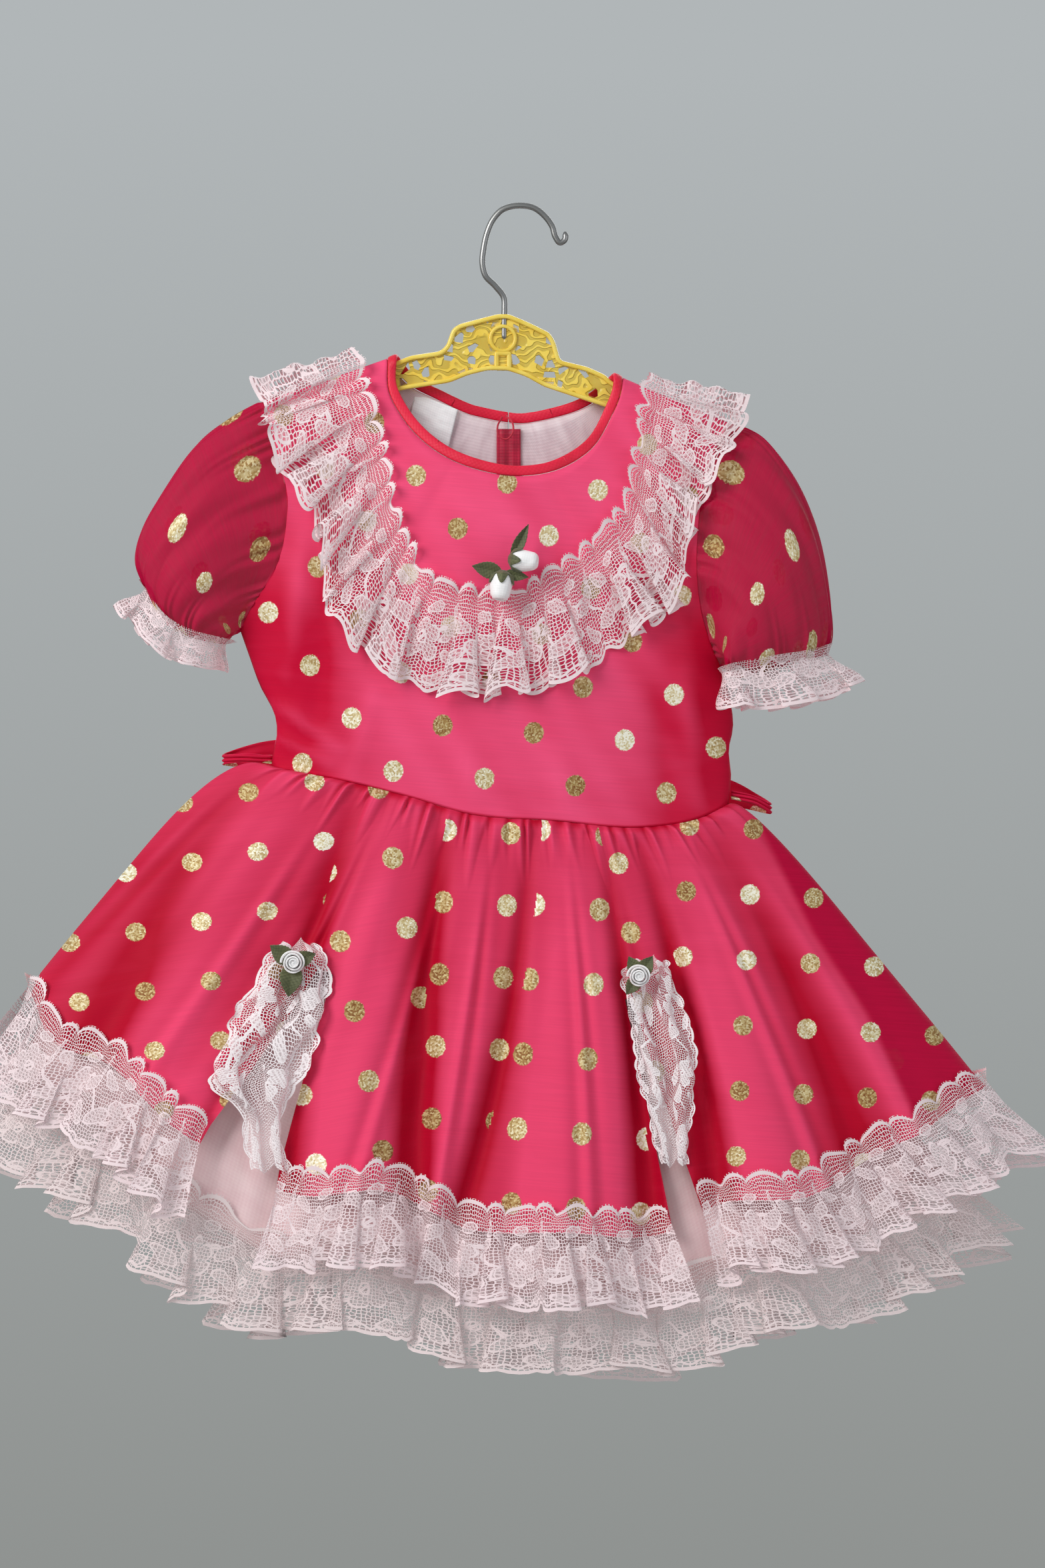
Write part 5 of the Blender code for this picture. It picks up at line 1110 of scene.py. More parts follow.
def skirt_relief(side, u, v, narrow):
    """Height of folds and gathers, which ends at the side seams."""
    place = narrowed(u, v, narrow)
    folds = FRONT_FOLDS if side == "front" else BACK_FOLDS
    height = np.zeros(np.broadcast(u, v).shape)
    fall = np.clip(v, 0, 1)
    for at_waist, at_hem, half_width, depth in folds:
        centre = at_waist + (at_hem - at_waist) * v
        height = height + RELIEF * depth * np.exp(-((place - centre) / half_width) ** 2) * fall**0.7
    if narrow:
        height = height * 0.3
    else:
        reach = GATHER_REACH * (1.1 + 0.9 * wander(place * 11, 1))
        fade = np.clip(1 - fall / reach, 0, 1) ** 1.3
        pleat = 0.5 + 0.5 * np.cos(2 * math.pi * (GATHERS[side] * place + 0.5 * wander(place * 9, 3)))
        fine = np.cos(2 * math.pi * (GATHERS[side] * 2.3 * place + 0.4 * wander(place * 17, 5)))
        height = height + (GATHER_DEPTH * pleat + 0.12 * fine) * fade
        long_fold = 1.1 * np.cos(2 * math.pi * (13 * place + 0.8 * wander(place * 5 + v * 0.2, 2)))
        height = height + long_fold * ease(0.05, 0.5, fall)
    return height * np.clip(np.sqrt(np.clip(1 - (2 * u - 1) ** 2, 0, 1)) * 2.5, 0, 1)


def skirt(side, u, v, out, narrow=0.0, sway=0.0):
    """Base, moved level outwards by the folds and by out, and along the hem by sway."""
    u, v, out, sway = np.broadcast_arrays(u, v, out, sway)
    sideways = (2 * u - 1) ** 3
    ahead = np.sqrt(1 - sideways**2) * (-1 if side == "front" else 1)
    outwards = np.stack([sideways, ahead, np.zeros_like(ahead)], -1)
    height = (skirt_relief(side, u, v, narrow) + out) * ease(-0.002, 0.02, v)
    points = skirt_base(side, u, v, narrow) + outwards * height[..., None]
    points[..., 0] += sway
    keep = np.minimum if side == "front" else np.maximum
    points[..., 1] = keep(points[..., 1], (-1 if side == "front" else 1) * SEAM / 2)
    return points


def past_hem(u, distance):
    """The v of a place a distance in mm below the hem line."""
    return 1 + distance / gore_length(u)


# %% [markdown]
# The overskirt is caught up in two narrow notches, so its lower edge is the hem line with two
# peaks cut in it. Its columns stand closer together at the notches. The dots run level and
# upright here, because skirt and bodice are cut at half a right angle to each other. To the
# right of one line the overskirt has no satin behind it and is darker and sheer.

# %% Overskirt
OVERSKIRT_OUT = 1.1
OVERSKIRT_LIFT = 2.0
HEM_BELOW_HEADER = 12.0
NOTCHES = {
    "left": (0.218, 0.262, 0.284, 0.299, 0.50),
    "right": (0.679, 0.684, 0.694, 0.712, 0.54),
}
SHEER_LINE = [(128.6, -333.7), (157.4, -391.3), (186.2, -434.5), (215, -495.7)]


def notched_hem(u):
    """The overskirt's lower edge: below the hem line, cut by the notches."""
    hem = past_hem(u, HEM_BELOW_HEADER)
    for left, top_left, top_right, right, reach in NOTCHES.values():
        rise = np.interp(u, [left, top_left, top_right, right], [0, 1, 1, 0])
        hem = hem - rise * (reach + hem - 1)
    return hem


def overskirt_out(v):
    """The overskirt stands further off where the lace of the underskirt lies below it."""
    return OVERSKIRT_OUT + OVERSKIRT_LIFT * ease(0.5, 1.0, v)


def dots_of_skirt(side, u, v):
    """Flat place: length along the hem from one row of dots, and fall from the waist."""
    steps = np.linspace(0, 1, 400)
    line = skirt(side, steps[None], np.full((1, 400), 0.7), 0.0)[0]
    gone = np.concatenate([[0], np.cumsum(np.linalg.norm(np.diff(line, axis=0), axis=1))])
    fall = v * gore_length(u) * 0.91 - 5.5
    return np.stack(np.broadcast_arrays(np.interp(u, steps, gone) * 1.06, fall), -1)


GORE_COLUMNS = ("edge_at_waist", "edge_at_hem", "dot_x", "dot_z", "lean", "pitch_x", "pitch_z")
GORES = [
    (0.20, 0.30, -172.9, -385.0, 9.0, 36.0, 32.5),
    (0.388, 0.432, -61.9, -388.3, 11.5, 36.8, 38.5),
    (0.592, 0.482, -7.9, -376.3, -3.0, 34.5, 39.0),
    (0.711, 0.665, 38.9, -418.9, -4.5, 35.0, 40.5),
    (0.79, 0.738, 52.4, -353.5, 10.0, 34.0, 38.0),
    (2.0, 2.0, 154.1, -442.9, -3.0, 34.5, 35.4),
]


def dots_of_gores(points, u, v):
    """Flat place of each corner of each face: one dot of its gore and the lean of its threads."""
    u, v = (np.broadcast_to(value, points.shape[:2]) for value in (u, v))
    corners = [(slice(None, -1), slice(None, -1)), (slice(None, -1), slice(1, None)),
               (slice(1, None), slice(1, None)), (slice(1, None), slice(None, -1))]
    middle_u = np.mean([u[c] for c in corners], axis=0)
    middle_v = np.mean([v[c] for c in corners], axis=0)
    table = dict(zip(GORE_COLUMNS, np.array(GORES).T))
    widening = table["edge_at_hem"] - table["edge_at_waist"]
    edges = table["edge_at_waist"] + widening * middle_v[..., None]
    number = (middle_u[..., None] > edges).sum(axis=-1)[..., None]
    gore = {key: values[number] for key, values in table.items()}
    x = np.stack([points[..., 0][c] for c in corners], -1) - gore["dot_x"]
    z = np.stack([points[..., 2][c] for c in corners], -1) - gore["dot_z"]
    lean = np.radians(gore["lean"])
    along = (x * np.cos(lean) + z * np.sin(lean)) / gore["pitch_x"]
    down = (z * np.cos(lean) - x * np.sin(lean)) / gore["pitch_z"]
    return np.stack([along, down], -1) * DOT_PITCH / MM


columns = [np.linspace(0, 1, 441)]
columns += [np.linspace(n[a] - 0.002, n[a] + 0.002, 7) for n in NOTCHES.values() for a in range(4)]
columns += [np.linspace(n[0], n[3], 40) for n in NOTCHES.values()]
u = np.unique(np.round(np.concatenate(columns), 5))[None]
v = (np.linspace(0, 1, 110) ** 1.1)[:, None] * notched_hem(u)
over_front = skirt("front", u, v, overskirt_out(v))
# Painted shadow: under the bodice at the waist, down the lower left of the skirt and in the valley right of
# the right notch. The folds add painted light on ridges and painted shade in valleys, partly the deeper red
# of doubled organza.
shadow = 0.6 * (1 - ease(0, 0.03, v)) + 0.32 * ease(0.3, 0.02, u) * ease(0.1, 0.7, v)
shadow = shadow + 0.3 * ease(0.69, 0.71, u) * ease(0.755, 0.73, u) * ease(0.3, 0.7, v)
fold_shade_mark = np.clip(0.54 + skirt_relief("front", u, v, 0) / 7 - shadow, 0, 1)
line = np.array(SHEER_LINE)
edge_x = np.interp(-over_front[..., 2], -line[:, 1], line[:, 0])
unlined = ease(-3, 3, over_front[..., 0] - edge_x)
surface("overskirt_front_cloth", over_front, skirt_organza, ["overskirt_front"],
        flat=dots_of_gores(over_front, u, v), facing=(0, -1, 0), cut=(720.0, 260.0),
        marks={"fold_shade": fold_shade_mark, "unlined": unlined}, held="gathered")
u = np.linspace(0, 1, 321)[None]
v = (np.linspace(0, 1, 80) ** 1.1)[:, None] * past_hem(u, HEM_BELOW_HEADER)
over_back = skirt("back", u, v, overskirt_out(v))
# Painted light and shade: fold ridges lighter, valleys darker, and a painted shadow under the waist seam.
fold_shade_mark = np.clip(0.50 + skirt_relief("back", u, v, 0) / 9 - 0.6 * (1 - ease(0, 0.03, v)), 0, 1)
surface("overskirt_back_cloth", over_back, skirt_organza, ["overskirt_back"],
        flat=dots_of_skirt("back", u, v), facing=(0, 1, 0), marks={"fold_shade": fold_shade_mark, "unlined": 0.0},
        held="gathered")

# %% [markdown]
# The underskirt is a plain satin skirt, a little narrower and longer, with softer folds.

# %% Underskirt
UNDERSKIRT_OUT = -3.6
UNDERSKIRT_SINK = 6.0
UNDERSKIRT_DROP = 46.0
UNDERSKIRT_NARROWING = 0.06
for side, count in (("front", 201), ("back", 161)):
    u = ring_shares(count)[None] * 0.35 + 0.65 * np.linspace(0, 1, count)[None]
    v = (np.linspace(0, 1, 60) ** 1.15)[:, None] * past_hem(u, UNDERSKIRT_DROP)
    out = UNDERSKIRT_OUT - UNDERSKIRT_SINK * ease(0, 0.5, v)
    out = out + 0.8 * wander(u * 14, 4) * ease(0.4, 1, v)
    surface(f"underskirt_{side}_cloth", skirt(side, u, v, out, UNDERSKIRT_NARROWING), pale_satin,
            [f"underskirt_{side}"], facing=(0, -1 if side == "front" else 1, 0),
            thick=0.5, held="hung")

# %% [markdown]
# Gathered lace is sewn on both hems. On the overskirt it is sewn on top of the cloth a little
# below its own upper edge, which stands up as a wavy header, and it stops at the notches.

# %% Lace on the hems
RUFFLE_COLUMNS = ("drop", "stand", "wave")
OVER_RUFFLE = [(-2.0, 3.4, 3.2), (8.0, 3.0, 0.8), (52.0, 4.0, 8.0)]
UNDER_RUFFLE = [(34.0, 2.6, 2.0), (42.0, 2.4, 0.8), (86.0, 3.0, 7.0)]
OVER_WAVES = {"left": 9, "centre": 15, "right": 12, "back": 18}
UNDER_WAVES = {"front": 22, "back": 12}
FLUTES_TO_WAVES = 0.55
HEM_GATHER = 1.4
RUFFLE_ROWS = 36


def hem_lace(name, side, start, stop, waves, rows, base_out, narrow, seed, finish):
    """Lace from above its seam to its scalloped edge, with waves that open towards the edge."""
    count = waves * WAVE_STEPS + 1
    place = np.linspace(0, 1, count)[None]
    u = start + (stop - start) * place
    t = np.linspace(0, 1, RUFFLE_ROWS)[:, None]
    drop, stand, depth = (column(rows, RUFFLE_COLUMNS, key)[:, 0] for key in RUFFLE_COLUMNS)
    shares = (drop - drop[0]) / (drop[-1] - drop[0])
    seam = shares[1]
    free = np.clip((t - seam) / (1 - seam), 0, 1)
    header = np.clip((seam - t) / seam, 0, 1)
    turn = waves_of(place, waves, seed)
    wave = stand_of(turn, place, waves, seed)
    flutes = max(2, round(waves * FLUTES_TO_WAVES))
    broad_turn = waves_of(place, flutes, seed + 2)
    flute = stand_of(broad_turn, place, flutes, seed + 3)
    line = skirt(side, u, past_hem(u, drop[-1]), base_out, narrow)[0]
    seen_length = length_of(line)
    length = seen_length * HEM_GATHER
    bite = scallops(place * length) * SCALLOP_DEPTH * free**6
    fall = drop[0] + (drop[-1] - drop[0]) * t - bite + header * (3.4 - 8.0 * wave)
    fall = fall + free * 5.0 * wander(place * waves / 3.3, seed + 1)
    v = past_hem(u, fall)
    out = base_out + np.interp(t, shares, stand)
    out = out + (0.8 + (depth[0] - 0.8) * header + 2.0 * ease(0, 0.25, free) * (1 - 0.6 * free)) * wave
    out = out + depth[-1] * free**0.9 * flute
    sway = 0.05 * free * (1 - free) * seen_length / waves * np.sin(2 * turn)
    sway = sway - 0.13 * header * seen_length / waves * np.sin(turn)
    sway = sway + 0.19 * free * seen_length / flutes * np.sin(2 * broad_turn)
    flat_u = place * length * np.ones_like(t)
    flat_v = (1 - t) * LACE_WIDTH * np.ones_like(place)
    return surface(f"{name}_cloth", skirt(side, u, v, out, narrow, sway), finish, [name],
                   flat=np.stack([flat_u, flat_v], -1), facing=(0, -1 if side == "front" else 1, 0),
                   held="gathered")


over = OVERSKIRT_OUT + OVERSKIRT_LIFT
under = UNDERSKIRT_OUT - UNDERSKIRT_SINK
spans = {"left": (0, 0.218), "centre": (0.299, 0.679), "right": (0.712, 1), "back": (0, 1)}
for number, (place_name, (start, stop)) in enumerate(spans.items()):
    hem_lace(f"overskirt_lace_{place_name}", "back" if place_name == "back" else "front", start, stop,
             OVER_WAVES[place_name], OVER_RUFFLE, over, 0.0, number + 1, white_lace)
for number, (side, waves) in enumerate(UNDER_WAVES.items()):
    hem_lace(f"underskirt_lace_{side}", side, 0, 1, waves, UNDER_RUFFLE, under, UNDERSKIRT_NARROWING,
             number + 6, open_lace_in_painted_shade)

# %% [markdown]
# In each notch the lace falls in a cascade: the strip runs up one side, round the top and down
# the other, and its slack hangs in zigzag folds. Its height, left and right edges are sighted.

# %% Lace in the notches
CASCADE_COLUMNS = ("z", "left", "right")
CASCADES = {
    "left": [
        (-396.5, -131, -111),
        (-404, -138, -104.0),
        (-420, -146.5, -102.8),
        (-431, -153, -105.0),
        (-445, -159, -109.5),
        (-463, -168, -115.7),
        (-474, -169, -121),
        (-488, -152, -128),
        (-504, -150, -128.5),
        (-519, -147, -124),
    ],
    "right": [
        (-405.7, 60, 79.3),
        (-413, 54.5, 82),
        (-427, 55.5, 86),
        (-442, 57.5, 91),
        (-457, 60.5, 95.5),
        (-470, 63.5, 95.0),
        (-484, 66.5, 93.0),
        (-499, 70.0, 91.5),
        (-516, 75.0, 90.0),
    ],
}
CASCADE_FOLDS = 2
CASCADE_ROWS = 90
CASCADE_STEPS = 73
CASCADE_WIDE = 34.0
CASCADE_DEPTH = 5.0
CASCADE_LENGTH = 150.0
cascade_points = {}
for number, (side, rows) in enumerate(CASCADES.items()):
    z, left, right = (column(rows, CASCADE_COLUMNS, key) for key in CASCADE_COLUMNS)
    coarse_w = np.linspace(0, 1, 13)[None]
    x = left + (right - left) * coarse_w
    rest = outermost(x, z * np.ones_like(x), [over_front[::2, ::2]], -1, 4.0).min(axis=1)
    lowered = np.pad(rest, 1, mode="edge")
    level = np.minimum(rest, (lowered[:-2] + lowered[2:]) / 2)[:, None]
    fine = between(np.concatenate([z, left, right, level], axis=1), CASCADE_ROWS)
    z, left, right, level = (fine[:, k:k + 1] for k in range(4))
    w = np.linspace(0, 1, CASCADE_STEPS)[None]
    down = np.linspace(0, 1, CASCADE_ROWS)[:, None]
    size = np.minimum(right - left, CASCADE_WIDE) / CASCADE_WIDE * CASCADE_DEPTH
    turn = 2 * math.pi * (CASCADE_FOLDS * w + 0.25 * wander(down * 1.5 + number, number + 1))
    wave = 0.5 - 0.5 * np.cos(turn)
    edge_wave = scallops(down * CASCADE_LENGTH) * 1.6
    x = left + (right - left) * w + (right - left) * 0.045 * np.sin(2 * turn)
    x = x + edge_wave * (np.clip(1 - w * 9, 0, 1) - np.clip(1 - (1 - w) * 9, 0, 1))
    y = level - 1.0 - size * wave
    zz = z + 4.0 * np.sin(turn) * (1 - np.abs(2 * w - 1))
    flat_u = down * CASCADE_LENGTH * np.ones_like(w)
    flat_v = LACE_WIDTH * 0.96 * (0.5 - np.abs(w - 0.5)) * 2 * np.ones_like(down)
    cascade_points[side] = np.stack([x, y, zz], -1)
    surface(f"swag_lace_{side}_cloth", cascade_points[side], folded_lace_painted_paler,
            [f"swag_lace_{side}"], flat=np.stack([flat_u, flat_v], -1), facing=(0, -1, 0),
            held="gathered")

# %% [markdown]
# The sash is a tie of the same organza at each side seam, knotted in a bow at the back. A tie is
# a strip carried along a path, with its width upright and a few long creases in it.

# %% Sash and bow
SASH_PATHS = {
    "sash_left": [
        (-134.6, 2.5, -297.5, 2.2), (-150, 4, -296.5, 2.2), (-161, 9, -297.5, 2.6),
        (-157, 17, -297, 4), (-140, 21, -295, 7), (-105, 22.6, -297, 10), (-60, 23.2, -303, 10),
        (-15, 23.2, -311, 7),
    ],
    "sash_right": [
        (113.2, 2.5, -316.5, 2.2), (126, 4, -319.5, 2.2), (134.5, 9, -324, 2.6),
        (130, 17, -322, 4), (114, 21, -316, 7), (78, 22.6, -318, 10), (40, 23.2, -317, 10),
        (2, 23.2, -313, 7),
    ],
    "bow_loop_left": [
        (-15.2, 27.5, -313, 6), (-36, 25, -308, 12), (-56, 26, -309, 14), (-64, 30, -310, 14),
        (-56, 34.5, -309, 14), (-36, 35, -307, 12), (-15.2, 31.5, -312, 5),
    ],
    "bow_loop_right": [
        (2.2, 27.5, -313, 6), (23, 25, -308, 12), (43, 26, -309, 14), (51, 30, -310, 14),
        (43, 34.5, -309, 14), (23, 35, -307, 12), (2.2, 31.5, -312, 5),
    ],
}
TAIL_COLUMNS = ("z", "left", "right")
SASH_TAILS = {
    "bow_tail_left": [
        (-326, -17, -9), (-345, -26, -10), (-370, -33, -13), (-400, -38, -16), (-430, -42, -18),
    ],
    "bow_tail_right": [
        (-326, -5, 3), (-345, -3, 12), (-370, 0, 20), (-400, 4, 26), (-424, 7, 31),
    ],
}
TAIL_STAND = 3.3
SASH_STEPS = 110
w = np.linspace(-1, 1, 13)[:, None]
for number, (name, rows) in enumerate(SASH_PATHS.items()):
    line = curve(rows, np.linspace(0, 1, SASH_STEPS))
    way = unit(np.gradient(line[:, :3], axis=0))
    out = unit(np.cross(way, (0.0, 0.0, 1.0)))
    pinch = np.exp(-((np.linspace(0, 1, SASH_STEPS) * 2 - 1) ** 2) * 2)
    bend = 2.5 * wander(np.linspace(0, 1, SASH_STEPS)[None] * 2, number)
    crease = 0.9 * np.sin(w * 7 + bend) * (1.1 - pinch)
    strip = line[None, :, :3] + out[None] * crease[..., None]
    strip[..., 2] += line[None, :, 3] * w
    # Painted light and shade: the crease ridges are painted lighter and their valleys darker.
    surface(f"{name}_cloth", strip, tie_organza, [name], facing=(0, 1, 0),
            marks={"fold_shade": np.clip(0.6 + 0.25 * crease, 0, 1)}, thick=0.6, held="folded")
for number, (name, rows) in enumerate(SASH_TAILS.items()):
    z, left, right = (between(column(rows, TAIL_COLUMNS, key), 50) for key in TAIL_COLUMNS)
    across = np.linspace(0, 1, 15)[None]
    x = left + (right - left) * across
    z = z - 5.0 * np.abs(across - 0.5) * ease(0.8, 1, np.linspace(0, 1, 50))[:, None]
    rest = outermost(x, z, [over_back[::2, ::2], back[::2]], 1, 4.5)
    crease = 0.8 * np.sin(across * 8 + number + 2 * np.linspace(0, 1, 50)[:, None])
    level = np.maximum(between(rest[::7], 50), rest - 0.6) + TAIL_STAND / 2 + crease
    # Painted light and shade: the crease ridges are painted lighter and their valleys darker.
    surface(f"{name}_cloth", np.stack([x, level, z], -1), tie_organza, [name],
            facing=(0, 1, 0), marks={"fold_shade": np.clip(0.6 + 0.25 * crease, 0, 1)}, thick=0.6,
            held="hung")


def lathe(profile, foot, axis, segments, steps, bumps=None):
    """Turn a smooth profile of (radius, height) round an axis; bumps(share, angle) scales the radius."""
    share = np.linspace(0, 1, steps)
    radius, height = curve(profile, share).T
    angle = np.linspace(0, 2 * math.pi, segments, endpoint=False)[None]
    axis = unit(np.asarray(axis, float))
    side = unit(np.cross(axis, (0.0, 0.0, 1.0) if abs(axis[2]) < 0.9 else (1.0, 0.0, 0.0)))
    other = np.cross(axis, side)
    reach = np.maximum(radius, 0.02)[:, None] * (bumps(share[:, None], angle) if bumps else 1.0)
    ring = reach[..., None] * (np.cos(angle)[..., None] * side + np.sin(angle)[..., None] * other)
    return np.asarray(foot, float) + ring + height[:, None, None] * axis


KNOT_PROFILE = [(0.0, 0.0), (4.5, 0.3), (7.4, 2.6), (8.2, 5.5), (7.0, 8.8), (4.0, 10.2), (0.0, 10.4)]
KNOT_FOOT = (-6.5, 24.4, -313.0)
knot = lathe(KNOT_PROFILE, KNOT_FOOT, (0, 1, 0), 72, 30,
             lambda share, angle: 1 + 0.05 * np.sin(9 * angle + 3 * share) + 0.04 * np.cos(2 * angle))
surface("bow_knot_cloth", knot, tie_organza, ["bow_knot"], ring=True,
        marks={"fold_shade": 0.55})

# %% [markdown]
# Each notch is topped with a rose rolled from white satin ribbon: a strip wound in a spiral that
# stands up and flares, so its folded edge draws the spiral that the eye sees. Three leaves of
# olive ribbon lie under it.

# %% Roses and their leaves
ROSE_COLUMNS = ("x", "z", "radius", "height")
SKIRT_ROSES = {
    "left": (-123.4, -407.2, 6.9, 7.0),
    "right": (63.5, -414.5, 6.6, 7.0),
}
ROSE_TURNS = 4.5
ROSE_LEAVES = {
    "left": [(22, 13.0), (143, 15.5), (262, 18.5)],
    "right": [(56, 13), (118, 12), (235, 12)],
}
LEAF_TEETH = 9
LEAF_PLUMPNESS = 0.62


def leaf(name, foot, degrees, length, nodes=(), rise=1.6, plump=LEAF_PLUMPNESS):
    """Pointed leaf from its foot: a sine outline with small teeth, a groove along the midrib."""
    s = np.linspace(0, 1, 46)[:, None]
    w = np.linspace(-1, 1, 17)[None]
    teeth = 1 + 0.12 * (1 - np.mod(s * LEAF_TEETH, 1)) * np.abs(w)
    half = length * plump / 2 * np.sin(math.pi * s**0.8) ** 0.9 * teeth
    bearing = math.radians(degrees)
    along = s * length
    across = w * half
    x = foot[0] + along * math.cos(bearing) - across * math.sin(bearing)
    z = foot[2] + along * math.sin(bearing) + across * math.cos(bearing)
    veins = 0.18 * np.abs(np.sin(math.pi * (s * LEAF_TEETH - 1.6 * np.abs(w))))
    y = foot[1] - rise * np.sin(math.pi * 0.8 * s) - 0.10 * length * np.abs(w) * np.sin(math.pi * s) - veins
    return surface(name, np.stack([x, y, z], -1), green_ribbon, nodes, facing=(0, -1, 0),
                   thick=0.35)


for side, row in SKIRT_ROSES.items():
    x, z, radius, height = (row[ROSE_COLUMNS.index(key)] for key in ROSE_COLUMNS)
    ring_x = x + radius * np.cos(np.arange(12))
    ring_z = z + radius * np.sin(np.arange(12))
    rest = outermost(ring_x, ring_z, [over_front[::2, ::2], cascade_points[side]], -1, 3.0).min()
    for number, (degrees, length) in enumerate(ROSE_LEAVES[side]):
        leaf(f"rose_leaf_{side}_{number}", (x, rest - 0.9, z), degrees, length,
             [f"rose_leaves_{side}"] if number == 0 else ())
    turns = np.linspace(0.25, 1, 300)[None]
    t = np.linspace(0, 1, 9)[:, None]
    angle = 2 * math.pi * ROSE_TURNS * turns
    petal = np.abs(np.sin(1.3 * angle))
    reach = radius * turns**1.1 * (0.82 + 0.16 * t**2 + 0.05 * petal)
    rise = height * t * (1.06 - 0.55 * turns**2 + 0.08 * petal) - 1.1 * np.clip(t - 0.8, 0, 1) * turns * 5
    petals = np.stack([x + reach * np.cos(angle), rest - 1.4 - rise, z + reach * np.sin(angle)], -1)
    surface(f"rose_{side}_petals", petals, white_ribbon, [f"rose_{side}"],
            facing=(0, -1, 0), thick=0.7)
    heart = lathe([(0.3, 0), (0.34 * radius, 0.4), (0.3 * radius, 0.8 * height), (0.02, 0.98 * height)],
                  (x, rest - 1.4, z), (0, -1, 0), 24, 14)
    surface(f"rose_{side}_heart", heart, white_ribbon, ring=True)

# %% [markdown]
# On the chest two buds are tied together, each in a green calyx. A bud is a smooth profile
# turned round its own axis, and the calyx is the same profile, a little wider and cut in points.

# %% Buds and their leaves
BUD_COLUMNS = ("x", "z", "radius", "length", "turn")
CHEST_BUDS = {
    "upper": (1.0, -190.0, 5.7, 16.0, -6.0),
    "lower": (-11.0, -203.5, 5.9, 16.0, -97.0),
}
BUD_PROFILE = [(0.25, 0.0), (0.85, 0.16), (1.0, 0.42), (0.9, 0.72), (0.72, 0.93), (0.5, 1.0),
               (0.3, 0.9), (0.05, 0.8)]
BUD_LEAVES = {
    "upper": [(64, 21.0, 0.28), (-62, 12.0, 0.4)],
    "lower": [(166, 17.0, 0.5), (-8, 14.0, 0.42)],
}
CALYX_REACH = 0.34
CALYX_POINTS = 5
for name, row in CHEST_BUDS.items():
    x, z, radius, length, degrees = (row[BUD_COLUMNS.index(key)] for key in BUD_COLUMNS)
    bearing = math.radians(degrees)
    axis = np.array([math.cos(bearing), -0.18, math.sin(bearing)])
    ring_x = x + length / 2 * np.cos(np.arange(12))
    ring_z = z + length / 2 * np.sin(np.arange(12))
    rest = outermost(ring_x, ring_z, [front, frill[:, ::2]], -1, 3.0).min()
    foot = np.array([x, rest - radius - 0.4, z]) - axis * length / 2
    profile = [(r * radius, h * length) for r, h in BUD_PROFILE]
    bud = lathe(profile, foot, axis, 60, 34,
                lambda share, angle: 1 + 0.07 * np.abs(np.sin(1.5 * angle + 5 * share)))
    surface(f"bud_{name}_petals", bud, white_ribbon, [f"bud_{name}"], ring=True)
    angle = np.linspace(0, 2 * math.pi, 60, endpoint=False)[None]
    point = np.abs(np.cos(CALYX_POINTS / 2 * angle)) ** 1.6
    reach = (0.14 + CALYX_REACH * point) * np.linspace(0, 1, 12)[:, None]
    sepals = np.interp(reach, [h for r, h in BUD_PROFILE[:5]], [r * radius for r, h in BUD_PROFILE[:5]])
    side_way = unit(np.cross(axis, (0.0, 0.0, 1.0) if abs(axis[2]) < 0.9 else (1.0, 0.0, 0.0)))
    other_way = np.cross(unit(axis), side_way)
    spread = (sepals * 1.12 + 0.35)[..., None]
    calyx = foot + (reach * length)[..., None] * axis
    calyx = calyx + spread * (np.cos(angle)[..., None] * side_way + np.sin(angle)[..., None] * other_way)
    surface(f"bud_{name}_calyx", calyx, green_ribbon, [f"bud_leaves_{name}"], ring=True,
            thick=0.3)
    for number, (turn, reach_out, plump) in enumerate(BUD_LEAVES[name]):
        leaf(f"bud_leaf_{name}_{number}", foot + axis * 1.5 + (0, radius * 0.4, 0), turn, reach_out,
             rise=0.8, plump=plump)

# %% [markdown]
# Buttons and hanger are injection-moulded plastic, which is smooth and glossy with faint marks
# of its flow. The hanger's web has small piercings, and they are in the alpha of the plastic,
# because as holes they would need many faces. The hook is drawn steel wire, with fine streaks
# along it. The buttons at the back are small domed shank buttons, turned from a profile.

